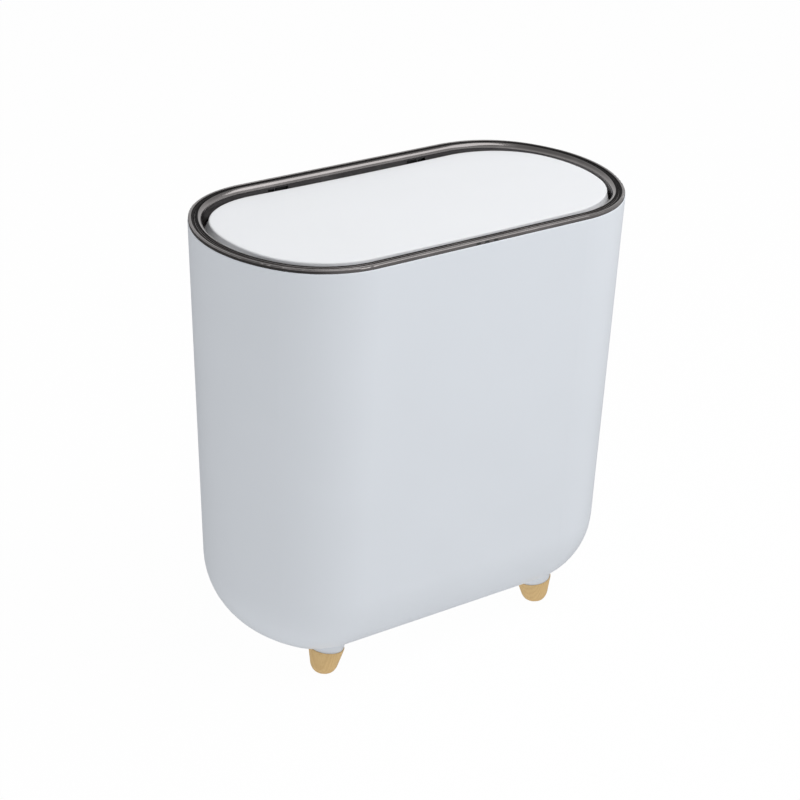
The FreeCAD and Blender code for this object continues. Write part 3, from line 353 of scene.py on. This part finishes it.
class Signal:
    """A socket of a finish's node tree. Arithmetic on it adds Math nodes to the tree."""

    def __init__(self, socket):
        self.socket = socket

    def add(self, kind, settings=None, inputs=None, output=0):
        """New node in the same tree: its settings first, then values or links into its sockets; gives one output."""
        tree = self.socket.id_data
        node = tree.nodes.new("ShaderNode" + kind)
        for name, value in (settings or {}).items():
            setattr(node, name, value)
        for key, value in (inputs or {}).items():
            if isinstance(value, Signal):
                tree.links.new(value.socket, node.inputs[key])
            else:
                node.inputs[key].default_value = value
        return Signal(node.outputs[output])

    def maths(self, operation, first, second=0.0):
        """Math node on two values."""
        return self.add("Math", {"operation": operation}, {0: first, 1: second})

    def __add__(self, other):
        return self.maths("ADD", self, other)

    def __radd__(self, other):
        return self.maths("ADD", other, self)

    def __sub__(self, other):
        return self.maths("SUBTRACT", self, other)

    def __rsub__(self, other):
        return self.maths("SUBTRACT", other, self)

    def __mul__(self, other):
        return self.maths("MULTIPLY", self, other)

    def __rmul__(self, other):
        return self.maths("MULTIPLY", other, self)

    def __truediv__(self, other):
        return self.maths("DIVIDE", self, other)

    def __rtruediv__(self, other):
        return self.maths("DIVIDE", other, self)

    def fraction(self):
        """What is left of a value after its whole part."""
        return self.maths("FRACT", self)

    def larger(self, other):
        """The larger of two values."""
        return self.maths("MAXIMUM", self, other)

    def rise(self, low, high):
        """Smooth step from 0 at low to 1 at high."""
        return self.add(
            "MapRange", {"interpolation_type": "SMOOTHSTEP"},
            {"Value": self, "From Min": low, "From Max": high, "To Min": 0.0, "To Max": 1.0},
        )

    def noise(self, size, detail=2.0, stretch=(1.0, 1.0, 1.0)):
        """Noise whose spots are about a size across, drawn out along each axis by a stretch."""
        scaled = self.add(
            "Mapping", {"vector_type": "POINT"}, {"Vector": self, "Scale": tuple(1 / (size * part) for part in stretch)}
        )
        return scaled.add("TexNoise", None, {"Vector": scaled, "Scale": 1.0, "Detail": detail})

    def part(self, axis):
        """One coordinate of a vector, X, Y or Z."""
        return self.add("SeparateXYZ", None, {"Vector": self}, output=axis)

    def blend(self, first, second):
        """Colour mixed from first to second by this value."""
        inputs = {"Factor": self, MIX_FIRST: opaque(first), MIX_SECOND: opaque(second)}
        return self.add("Mix", {"data_type": "RGBA"}, inputs, output=MIX_RESULT)

    def bump(self, depth):
        """Normal raised by this height over a depth in metres."""
        return self.add("Bump", None, {"Strength": 1.0, "Distance": depth, "Height": self})


def opaque(colour):
    """Colour with full alpha, or a signal as it is."""
    return colour if isinstance(colour, Signal) else (*colour[:3], 1.0)


class Finish:
    """A material on a Principled shader, with the place on the piece in metres as a signal."""

    def __init__(self, name, roughness=0.5, metallic=0.0):
        self.material = bpy.data.materials.new(name)
        self.material.use_nodes = True
        tree = self.material.node_tree
        self.shader = tree.nodes["Principled BSDF"]
        self.place = Signal(tree.nodes.new("ShaderNodeTexCoord").outputs["Object"])
        self.feed("Roughness", roughness)
        self.feed("Metallic", metallic)

    def feed(self, socket, value):
        """Value or signal into one of the shader's sockets."""
        target = self.shader.inputs[socket]
        if isinstance(value, Signal):
            self.material.node_tree.links.new(value.socket, target)
        else:
            target.default_value = opaque(value) if target.type == "RGBA" else value

    def wear_on(self, *pieces):
        """Give this finish to pieces in place of what they had."""
        for piece in pieces:
            piece.data.materials.clear()
            piece.data.materials.append(self.material)


def nodes_named(*names):
    """CAD objects of these nodes."""
    return [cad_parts[name] for name in names]


def moulded_plastic(name, colour, roughness, settings):
    """Satin moulded plastic with slow changes of tone and the mould's fine skin; gives the finish and its tone."""
    finish = Finish(name)
    flow = finish.place.noise(settings.flow_size)
    skin = finish.place.noise(settings.skin_size, detail=3.0)
    shade = tuple(part * (1 - settings.flow_share) for part in colour)
    tone = flow.blend(shade, colour)
    finish.feed("Base Color", tone)
    uneven = (skin - NOISE_MEAN) * SKIN_DULLING + (flow - NOISE_MEAN) * FLOW_DULLING
    finish.feed("Roughness", roughness + uneven)
    finish.feed("Normal", skin.bump(settings.skin_depth))
    return finish, tone


def zinc_plate(name, colour, roughness, settings, stretch=(1.0, 1.0, 1.0)):
    """Plated or drawn metal with fine scratches along one way and slight stains."""
    finish = Finish(name, metallic=1.0)
    scratch = finish.place.noise(settings.brush_width, detail=1.0, stretch=stretch)
    stain = finish.place.noise(STAIN_SIZE * settings.brush_width, detail=3.0)
    finish.feed("Base Color", (STAIN_SHARE * stain).blend(colour, tuple(STAIN_SHADE * part for part in colour)))
    finish.feed("Roughness", roughness + (scratch - NOISE_MEAN) * SCRATCH_DULLING + stain * STAIN_DULLING)
    finish.feed("Normal", scratch.bump(settings.brush_depth))
    return finish


def new_piece(name, mesh, body, slot, *replaced):
    """Piece made here that rides on a CAD body and may stand for CAD nodes, which it hides; its slot is not used."""
    mesh.name = name
    piece = bpy.data.objects.new(name, mesh)
    bpy.context.scene.collection.objects.link(piece)
    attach(piece, body)
    if replaced:
        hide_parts(*replaced)
    return piece


def oval(plan, inset, steps):
    """Points of an oval plan drawn in by an inset, anticlockwise from the right end."""
    half_x, half_y, corner, tip, shift = plan
    tip_x = half_x - tip
    corner_y = half_y - corner
    corner_x = tip_x + math.sqrt((tip - corner) ** 2 - corner_y ** 2)
    turn = math.atan2(corner_y, corner_x - tip_x)
    quarter = math.pi / 2
    arcs = [
        (tip_x, 0.0, tip, -turn, turn),
        (corner_x, corner_y, corner, turn, quarter),
        (-corner_x, corner_y, corner, quarter, 2 * quarter - turn),
        (-tip_x, 0.0, tip, 2 * quarter - turn, 2 * quarter + turn),
        (-corner_x, -corner_y, corner, 2 * quarter + turn, 3 * quarter),
        (corner_x, -corner_y, corner, 3 * quarter, 4 * quarter - turn),
    ]
    points = []
    for middle_x, middle_y, radius, first, last in arcs:
        for step in range(steps):
            angle = first + (last - first) * step / steps
            reach = radius - inset
            points.append((middle_x + reach * math.cos(angle), middle_y + reach * math.sin(angle) - shift))
        if last in (quarter, 3 * quarter):
            way = -1 if last == quarter else 1
            side = middle_y + (radius - inset) * math.sin(last) - shift
            points += [(middle_x + way * 2 * corner_x * step / steps, side) for step in range(steps)]
    return points


def rim_oval(plan, inset):
    """Points of the rim's plan drawn in by an inset."""
    sizes = (SHELL_HIGH.x, SHELL_HIGH.y, plan.rim_corner, plan.rim_tip, 0.0)
    return oval(sizes, inset, plan.arc_steps)


def top_oval(plan, inset):
    """Points of the plan of the lid's top drawn in by an inset."""
    sizes = (plan.top_half_length, plan.top_half_width, plan.top_corner, plan.top_tip, plan.top_shift)
    return oval(sizes, inset, plan.arc_steps)


def lofted(loops, capped=False, closed=False):
    """Smooth mesh through loops of points, with a cap on the last loop or closed back to the first on request."""
    mould = bmesh.new()
    rings = [[mould.verts.new(point) for point in loop] for loop in loops]
    pairs = list(zip(rings, rings[1:])) + ([(rings[-1], rings[0])] if closed else [])
    for low, high in pairs:
        for index, corner in enumerate(low):
            ahead = (index + 1) % len(low)
            mould.faces.new((corner, low[ahead], high[ahead], high[index]))
    if capped:
        mould.faces.new(rings[-1])
    bmesh.ops.recalc_face_normals(mould, faces=mould.faces)
    return smooth_mesh(mould)


def smooth_mesh(mould):
    """Smooth mesh from what was worked up; the piece that takes it gives it its name."""
    mesh = bpy.data.meshes.new("piece")
    mould.to_mesh(mesh)
    mould.free()
    mesh.shade_smooth()
    return mesh


def rim_moulding(plan, section):
    """Closed moulding that carries a section of insets and heights round the rim."""
    return lofted([[(x, y, height) for x, y in rim_oval(plan, inset)] for inset, height in section], closed=True)


def quarter_round(steps):
    """Shares across and down of a quarter round, from its level top to its upright side."""
    angles = [math.pi / 2 * step / steps for step in range(steps + 1)]
    return [(math.sin(angle), 1 - math.cos(angle)) for angle in angles]


def shoulder_mesh(settings, plan):
    """Quarter-round moulding that lies over the ring's slope all round."""
    reach = settings.shoulder_inner - settings.shoulder_outer
    top = RING_HIGH.z - settings.shoulder_drop
    arc = quarter_round(SHOULDER_STEPS)
    section = [(settings.shoulder_outer + across * reach, top - down * reach) for across, down in arc]
    section.append((settings.shoulder_inner - SHOULDER_FOOT * reach, top - reach))
    section.append((settings.shoulder_outer, top - SHOULDER_BROW * reach))
    return rim_moulding(plan, section)


def groove_shade_mesh(settings, plan):
    """Thin dark sheet of painted shade on the floor of the ring's groove and up the inner side of its lip."""
    skin = settings.groove_skin
    floor = RING_HIGH.z - settings.groove_drop
    middle = RING_HIGH.z - settings.lip_drop

    def on_lip(share, reach):
        angle = share * settings.lip_climb
        return settings.lip_middle + reach * math.cos(angle), middle + reach * math.sin(angle)

    section = [(settings.groove_inner, floor - skin), (settings.groove_inner, floor + skin)]
    section.append((settings.lip_middle + settings.lip_round + skin, floor + skin))
    section += [on_lip(step / CLIMB_STEPS, settings.lip_round + skin) for step in range(CLIMB_STEPS + 1)]
    section.append(on_lip(1.0, settings.lip_round - skin))
    section.append((settings.lip_middle + settings.lip_round - skin, floor - skin))
    return rim_moulding(plan, section)


def lid_mesh(form, plan):
    """Lid cover at rest: sides that lean out to the lower edge, a soft edge and a slightly dished top."""

    def top_at(x, y):
        rise = math.tan(form.top_tilt) * (form.hinge_place - y)
        return form.top_height + rise + form.dish * (x / plan.top_half_length) ** 2

    def foot_at(y):
        return form.foot_height + math.tan(form.foot_tilt) * (form.hinge_place - y)

    foot = [Vector((x, y, foot_at(y))) for x, y in rim_oval(plan, form.foot_inset)]
    inner = [Vector((x, y, foot_at(y))) for x, y in rim_oval(plan, form.foot_inset + form.wall)]
    brow = [Vector((x, y, top_at(x, y) - form.edge_radius)) for x, y in top_oval(plan, 0.0)]
    loops = [[point + Vector((0, 0, LID_INSIDE * form.wall)) for point in inner], inner, foot]
    for step in range(1, SIDE_STEPS + 1):
        loops.append([low.lerp(high, step / SIDE_STEPS) for low, high in zip(foot, brow)])
    for across, down in reversed(quarter_round(EDGE_STEPS)[:-1]):
        edge = top_oval(plan, form.edge_radius * (1 - across))
        loops.append([Vector((x, y, top_at(x, y) - down * form.edge_radius)) for x, y in edge])
    rim = top_oval(plan, form.edge_radius)
    for share in TOP_LOOPS:
        flat = [(x * share, (y + plan.top_shift) * share - plan.top_shift) for x, y in rim]
        loops.append([Vector((x, y, top_at(x, y))) for x, y in flat])
    return lofted(loops, capped=True)


def foot_mesh(form, side_x, side_y):
    """Turned foot with a collar round its cuff, splayed and cut level with the floor."""
    taper = (form.collar_radius - form.tip_radius) / (form.height - form.tip_height)
    outline = []
    for across, down in quarter_round(BOWL_STEPS):
        below = (form.tip_height + form.grind) * (1 - down)
        radius = form.pad_radius + (form.tip_radius - form.pad_radius) * across
        outline.append((radius - taper * below, form.tip_height - below))
    bevel = COLLAR_BEVEL * form.collar_wall
    inside = form.collar_radius - form.collar_wall
    outline += [
        (form.collar_radius, form.height - bevel),
        (form.collar_radius - BEVEL_MIDDLE * bevel, form.height - BEVEL_MIDDLE * bevel),
        (form.collar_radius - bevel, form.height),
        (inside, form.height),
        (inside, form.height - COLLAR_DEPTH * bevel),
    ]
    turns = [2 * math.pi * step / TURN_STEPS for step in range(TURN_STEPS)]
    place = Matrix.Translation((side_x * form.across, side_y * form.deep, 0.0))
    lean = place @ Matrix.Rotation(-side_x * form.splay, 4, "Y")
    loops = []
    for radius, height in reversed(outline):
        ring = [lean @ Vector((radius * math.cos(turn), radius * math.sin(turn), height)) for turn in turns]
        loops.append([(point.x, point.y, max(point.z, 0.0)) for point in ring])
    return lofted(loops, capped=True)


def press_mark_mesh(settings, place):
    """Pillow-shaped bars in a row along X that stand out of a wall facing -Y at a place."""
    mould = bmesh.new()
    size = Vector((settings.mark_length, settings.mark_width, 2 * settings.mark_height))
    first = -settings.mark_pitch * (settings.mark_count - 1) / 2
    for index in range(settings.mark_count):
        shift = Matrix.Translation((first + index * settings.mark_pitch, 0, 0))
        bmesh.ops.create_cube(mould, size=1.0, matrix=shift @ Matrix.Diagonal((*size, 1.0)))
    upright = [edge for edge in mould.edges if abs((edge.verts[0].co - edge.verts[1].co).z) > settings.mark_height]
    corner = MARK_CORNER * settings.mark_width
    bmesh.ops.bevel(mould, geom=upright, offset=corner, segments=MARK_CORNER_STEPS, affect="EDGES", profile=0.5)
    brim = [edge for edge in mould.edges if min(vert.co.z for vert in edge.verts) > 0.5 * settings.mark_height]
    edge = MARK_BRIM * settings.mark_height
    bmesh.ops.bevel(mould, geom=brim, offset=edge, segments=MARK_BRIM_STEPS, affect="EDGES", profile=0.5)
    mould.transform(Matrix.Translation(place) @ Matrix.Rotation(math.radians(90), 4, "X"))
    return smooth_mesh(mould)


class BIN_OT_finish_shell(bpy.types.Operator):
    """Satin white plastic on the shell, darker in spots towards its foot"""

    bl_idname = "bin.finish_shell"
    bl_label = "Finish the shell"

    def execute(self, context):
        settings = context.scene.bin_moulding
        finish, tone = moulded_plastic("satin_white_shell", settings.shell_colour, settings.shell_roughness, settings)
        height = finish.place.part("Z")
        # Darker in spots towards the shell's underside, by height alone
        spots = finish.place.noise(DARKENING_SPOTS * settings.flow_size, detail=5.0)
        near_foot = 1 - height.rise(SHELL_LOW.z - settings.darkening_height, SHELL_LOW.z + settings.darkening_height)
        darkening = near_foot * spots * settings.darkening_share
        finish.feed("Base Color", darkening.blend(tone, settings.darkening_colour))
        finish.wear_on(*nodes_named("body_shell"))
        return {"FINISHED"}


class BIN_OT_finish_feet(bpy.types.Operator):
    """Four turned feet in oiled pale wood, grain along each foot"""

    bl_idname = "bin.finish_feet"
    bl_label = "Finish the feet"

    def execute(self, context):
        settings = context.scene.bin_wood
        finish = Finish("oiled_beech")
        along = settings.fibre_length / settings.fibre_width
        fibre = finish.place.noise(settings.fibre_width, detail=3.0, stretch=(1.0, 1.0, along))
        bend = finish.place.noise(BEND_SIZE * settings.ring_width, detail=1.0, stretch=BEND_STRETCH)
        slanted = finish.place.part("X") + RING_SLANT * finish.place.part("Y")
        phase = ((slanted + bend * (BEND_REACH * settings.ring_width)) / settings.ring_width).fraction()
        growth = phase.rise(*EARLY_WOOD) * (1 - phase.rise(*LATE_WOOD))
        grain = GROWTH_SHARE * growth + (1 - GROWTH_SHARE) * fibre.rise(*OPEN_GRAIN)
        finish.feed("Base Color", grain.blend(settings.pale_colour, settings.dark_colour))
        finish.feed("Roughness", settings.roughness + (fibre - NOISE_MEAN) * FIBRE_DULLING)
        finish.feed("Normal", (1 - fibre).bump(settings.grain_depth))
        form = context.scene.bin_foot
        for node, sides in FEET.items():
            finish.wear_on(new_piece("turned_" + node, foot_mesh(form, *sides), "bin", "wood", node))
        return {"FINISHED"}


class BIN_OT_finish_ring(bpy.types.Operator):
    """Smoked chrome on the ring, hazed by handling and painted dark with shade along its crest, with its round shoulder
    and a dark sheet of painted shade in its groove
    """

    bl_idname = "bin.finish_ring"
    bl_label = "Finish the ring"

    def execute(self, context):
        settings = context.scene.bin_ring
        finish = Finish("smoked_chrome_ring", metallic=1.0)
        ripple = finish.place.noise(settings.ripple_size)
        haze = finish.place.noise(HAZE_SIZE * settings.ripple_size, detail=4.0).rise(*HAZE_EDGES)
        shade = tuple(HAZE_SHADE * part for part in settings.colour)
        # Painted shade: the ring's highest line is darkened to the groove's shade colour and dulled
        crest = finish.place.part("Z").rise(RING_HIGH.z - settings.crest_shade_low, RING_HIGH.z - settings.crest_shade_high)
        finish.feed("Base Color", crest.blend(haze.blend(shade, settings.colour), settings.groove_shade_colour))
        finish.feed("Roughness", settings.roughness + haze * settings.haze_share + crest * CREST_SHADE_DULLING)
        finish.feed("Normal", ripple.bump(settings.ripple_depth))
        plan = context.scene.bin_plan
        shoulder = new_piece("ring_shoulder", shoulder_mesh(settings, plan), "rim", "ring_grey")
        finish.wear_on(shoulder, *nodes_named("rim_ring"))
        # Painted shade: a thin dark sheet laid on the groove's floor and up the lip's inner side, where the groove lies
        # in shade
        dull = Finish("painted_groove_shade", roughness=settings.groove_roughness)
        speck = dull.place.noise(SPECK_SIZE * settings.ripple_size, detail=3.0)
        speck_colour = tuple(SPECK_SHADE * part for part in settings.groove_shade_colour)
        dull.feed("Base Color", speck.blend(settings.groove_shade_colour, speck_colour))
        dull.feed("Specular IOR Level", settings.groove_gloss)
        dull.wear_on(new_piece("groove_shade_sheet", groove_shade_mesh(settings, plan), "rim", "ring_grey"))
        return {"FINISHED"}


class BIN_OT_press_marks(bpy.types.Operator):
    """Small raised bars on the front wall of the ring, below the place where the lid is pressed"""

    bl_idname = "bin.press_marks"
    bl_label = "Add the press marks"

    def execute(self, context):
        settings = context.scene.bin_ring
        place = Vector((0, RING_LOW.y, RING_HIGH.z - settings.mark_drop))
        marks = new_piece("press_marks", press_mark_mesh(settings, place), "rim", "ring_grey")
        finish = Finish("black_press_mark")
        scuff = finish.place.noise(SCUFF_SIZE * settings.mark_width, detail=3.0)
        scuff_colour = tuple(SCUFF_SHADE * part for part in settings.mark_colour)
        finish.feed("Base Color", scuff.blend(settings.mark_colour, scuff_colour))
        finish.feed("Roughness", settings.mark_roughness + scuff * SCUFF_DULLING)
        finish.wear_on(marks)
        return {"FINISHED"}


class BIN_OT_finish_lid(bpy.types.Operator):
    """Dished lid cover in satin white plastic, dull dark plastic on its liner, and steel on the striker plate"""

    bl_idname = "bin.finish_lid"
    bl_label = "Finish the lid"

    def execute(self, context):
        settings = context.scene.bin_moulding
        metal = context.scene.bin_metal
        cover, _ = moulded_plastic("satin_white_lid", settings.lid_colour, settings.lid_roughness, settings)
        cover.feed("Subsurface Weight", settings.lid_glow_share)
        cover.feed("Subsurface Radius", (1.0, 1.0, 1.0))
        cover.feed("Subsurface Scale", settings.lid_glow_depth)
        form = lid_mesh(context.scene.bin_lid, context.scene.bin_plan)
        cover.wear_on(new_piece("lid_top", form, "lid", "lid_white", "lid_cover"))
        liner, _ = moulded_plastic("grey_liner", settings.liner_colour, settings.liner_roughness, settings)
        liner.wear_on(*nodes_named("lid_liner"))
        plate = zinc_plate("brushed_striker", metal.plate_colour, metal.plate_roughness, metal, BRUSHED_ALONG)
        plate.wear_on(*nodes_named("striker_plate"))
        return {"FINISHED"}


class BIN_OT_finish_hinge(bpy.types.Operator):
    """Bright steel on the hinge pins and drawn wire on the torsion springs"""

    bl_idname = "bin.finish_hinge"
    bl_label = "Finish the hinge"

    def execute(self, context):
        metal = context.scene.bin_metal
        pins = zinc_plate("bright_hinge_pin", metal.zinc_colour, metal.pin_roughness, metal, DRAWN_ALONG)
        pins.wear_on(*nodes_named(*HINGE_PINS))
        wire = zinc_plate("drawn_hinge_wire", metal.wire_colour, metal.wire_roughness, metal)
        wire.wear_on(*nodes_named(*HINGE_WIRES))
        return {"FINISHED"}


class BIN_OT_finish_latch(bpy.types.Operator):
    """Dark plastic on the latch's housing, natural plastic on its plunger, and metal on magnet, spring and wire"""

    bl_idname = "bin.finish_latch"
    bl_label = "Finish the latch"

    def execute(self, context):
        latch = context.scene.bin_latch
        metal = context.scene.bin_metal
        moulding = context.scene.bin_moulding
        housing, _ = moulded_plastic("dark_latch_housing", latch.housing_colour, latch.housing_roughness, moulding)
        housing.wear_on(*nodes_named("latch_housing", "latch_cap"))
        plunger, _ = moulded_plastic("natural_plunger", latch.plunger_colour, latch.plunger_roughness, moulding)
        plunger.wear_on(*nodes_named("latch_plunger"))
        magnet = zinc_plate("nickel_magnet", metal.nickel_colour, metal.nickel_roughness, metal)
        magnet.wear_on(*nodes_named("latch_magnet"))
        wire = zinc_plate("drawn_latch_wire", metal.wire_colour, metal.wire_roughness, metal)
        wire.wear_on(*nodes_named(*LATCH_WIRES))
        return {"FINISHED"}


class BIN_OT_finish_screws(bpy.types.Operator):
    """Zinc plate on all screws"""

    bl_idname = "bin.finish_screws"
    bl_label = "Finish the screws"

    def execute(self, context):
        metal = context.scene.bin_metal
        zinc = zinc_plate("zinc_screw", metal.zinc_colour, metal.screw_roughness, metal)
        zinc.wear_on(*nodes_named(*SCREWS))
        return {"FINISHED"}


def ray_kinds(signal):
    """Two signals: 1 for rays that look or see through to a surface, and 1 for rays that mirror it."""
    camera = signal.add("LightPath", None, None, "Is Camera Ray")
    through = signal.add("LightPath", None, None, "Is Transmission Ray")
    return camera.larger(through), signal.add("LightPath", None, None, "Is Glossy Ray")


def white_floor(studio):
    """Wide pale floor that is seen as nearly white, keeps a faint shadow and mirrors as lit from the front."""
    mould = bmesh.new()
    bmesh.ops.create_grid(mould, x_segments=1, y_segments=1, size=studio.floor_size)
    mesh = bpy.data.meshes.new("studio_floor")
    mould.to_mesh(mesh)
    mould.free()
    floor = bpy.data.objects.new("studio_floor", mesh)
    bpy.context.scene.collection.objects.link(floor)
    finish = Finish("pale_floor", roughness=studio.floor_roughness)
    finish.feed("Base Color", studio.floor_colour)
    tree = finish.material.node_tree
    seen, mirrored = ray_kinds(finish.place)
    front = (FRONT_WAY[0] * finish.place.part("X") + FRONT_WAY[1] * finish.place.part("Y")).rise(*FLOOR_RISE)
    mirror = studio.floor_dim + front * (studio.floor_lit - studio.floor_dim)
    level = 1 + mirrored * (mirror - 1)
    glow = finish.place.add("Emission", None, {"Color": (1.0, 1.0, 1.0, 1.0), "Strength": level})
    share = mirrored.larger(seen * studio.floor_white).larger(studio.floor_lift)
    surface = finish.place.add("MixShader", None, {0: share, 1: Signal(finish.shader.outputs[0]), 2: glow})
    tree.links.new(surface.socket, tree.nodes["Material Output"].inputs["Surface"])
    finish.wear_on(floor)


def even_sky(studio):
    """White world to look at, even light of a lower level from it, and a mirror image that is darker overhead."""
    world = bpy.data.worlds.new("studio_sky")
    world.use_nodes = True
    tree = world.node_tree
    background = tree.nodes["Background"]
    background.inputs["Color"].default_value = (1.0, 1.0, 1.0, 1.0)
    way = Signal(tree.nodes.new("ShaderNodeTexCoord").outputs["Generated"])
    seen, mirrored = ray_kinds(way)
    mirror = studio.sky_low + way.part("Z").rise(*SKY_RISE) * (studio.sky_high - studio.sky_low)
    level = studio.sky_level + seen * (1 - studio.sky_level) + mirrored * (mirror - studio.sky_level)
    tree.links.new(level.socket, background.inputs["Strength"])
    bpy.context.scene.world = world


def soft_lamp(name, power, size, place, target, mirrored=True):
    """Square lamp that faces a target, and that gloss may or may not mirror."""
    lamp = bpy.data.lights.new(name, "AREA")
    lamp.shape = "SQUARE"
    lamp.size = size
    lamp.energy = power
    light = bpy.data.objects.new(name, lamp)
    light.location = place
    light.visible_glossy = mirrored
    light.rotation_euler = (Vector(target) - Vector(place)).to_track_quat("-Z", "Y").to_euler()
    bpy.context.scene.collection.objects.link(light)


def fitted_camera(studio):
    """Camera at the photograph's viewing angle."""
    turn, lift = studio.azimuth, studio.elevation
    back = Vector((math.sin(turn) * math.cos(lift), -math.cos(turn) * math.cos(lift), math.sin(lift)))
    right = Vector((math.cos(turn), math.sin(turn), 0.0))
    up = back.cross(right)
    place = right * studio.aside + Vector((0.0, 0.0, studio.height)) + back * studio.distance
    rolled_right = right * math.cos(studio.roll) - up * math.sin(studio.roll)
    rolled_up = right * math.sin(studio.roll) + up * math.cos(studio.roll)
    lens = bpy.data.cameras.new("photo_camera")
    lens.sensor_fit = "HORIZONTAL"
    lens.sensor_width = FILM_WIDTH
    lens.lens = studio.lens
    camera = bpy.data.objects.new("photo_camera", lens)
    camera.matrix_world = Matrix((rolled_right, rolled_up, back)).transposed().to_4x4()
    camera.location = place
    bpy.context.scene.collection.objects.link(camera)
    bpy.context.scene.camera = camera


class BIN_OT_studio(bpy.types.Operator):
    """Pale floor, even sky, a soft main lamp, a weak lamp from behind at the left, and the camera"""

    bl_idname = "bin.studio"
    bl_label = "Set up the studio"

    def execute(self, context):
        studio = context.scene.bin_studio
        context.scene.view_settings.view_transform = "Standard"
        white_floor(studio)
        even_sky(studio)
        middle = (0.0, 0.0, studio.height)
        soft_lamp("key_lamp", studio.key_power, studio.key_size, studio.key_place, middle)
        soft_lamp("fill_lamp", studio.fill_power, studio.fill_size, studio.fill_place, middle, mirrored=False)
        fitted_camera(studio)
        return {"FINISHED"}


class BIN_PT_sidebar(bpy.types.Panel):
    """The bin's pieces in the order in which they are made"""

    bl_idname = "BIN_PT_sidebar"
    bl_label = "Bathroom bin"
    bl_space_type = "VIEW_3D"
    bl_region_type = "UI"
    bl_category = "Bin"

    def draw(self, context):
        for operator in OPERATORS:
            self.layout.operator(operator.bl_idname)


SETTINGS = {
    "bin_plan": PlanSettings,
    "bin_lid": LidSettings,
    "bin_foot": FootSettings,
    "bin_moulding": MouldingSettings,
    "bin_ring": RingSettings,
    "bin_wood": WoodSettings,
    "bin_metal": MetalSettings,
    "bin_latch": LatchSettings,
    "bin_studio": StudioSettings,
}
OPERATORS = (
    BIN_OT_finish_shell,
    BIN_OT_finish_feet,
    BIN_OT_finish_ring,
    BIN_OT_press_marks,
    BIN_OT_finish_lid,
    BIN_OT_finish_hinge,
    BIN_OT_finish_latch,
    BIN_OT_finish_screws,
    BIN_OT_studio,
)


def register():
    """Make the settings, operators and panel known to Blender."""
    for name, group in SETTINGS.items():
        bpy.utils.register_class(group)
        setattr(bpy.types.Scene, name, PointerProperty(type=group))
    for operator in OPERATORS:
        bpy.utils.register_class(operator)
    bpy.utils.register_class(BIN_PT_sidebar)


def unregister():
    """Take them out again."""
    bpy.utils.unregister_class(BIN_PT_sidebar)
    for operator in reversed(OPERATORS):
        bpy.utils.unregister_class(operator)
    for name, group in SETTINGS.items():
        delattr(bpy.types.Scene, name)
        bpy.utils.unregister_class(group)


def main():
    """Dress the bin and set up the studio."""
    register()
    for operator in OPERATORS:
        family, name = operator.bl_idname.split(".")
        getattr(getattr(bpy.ops, family), name)()


if __name__ == "__main__":
    main()
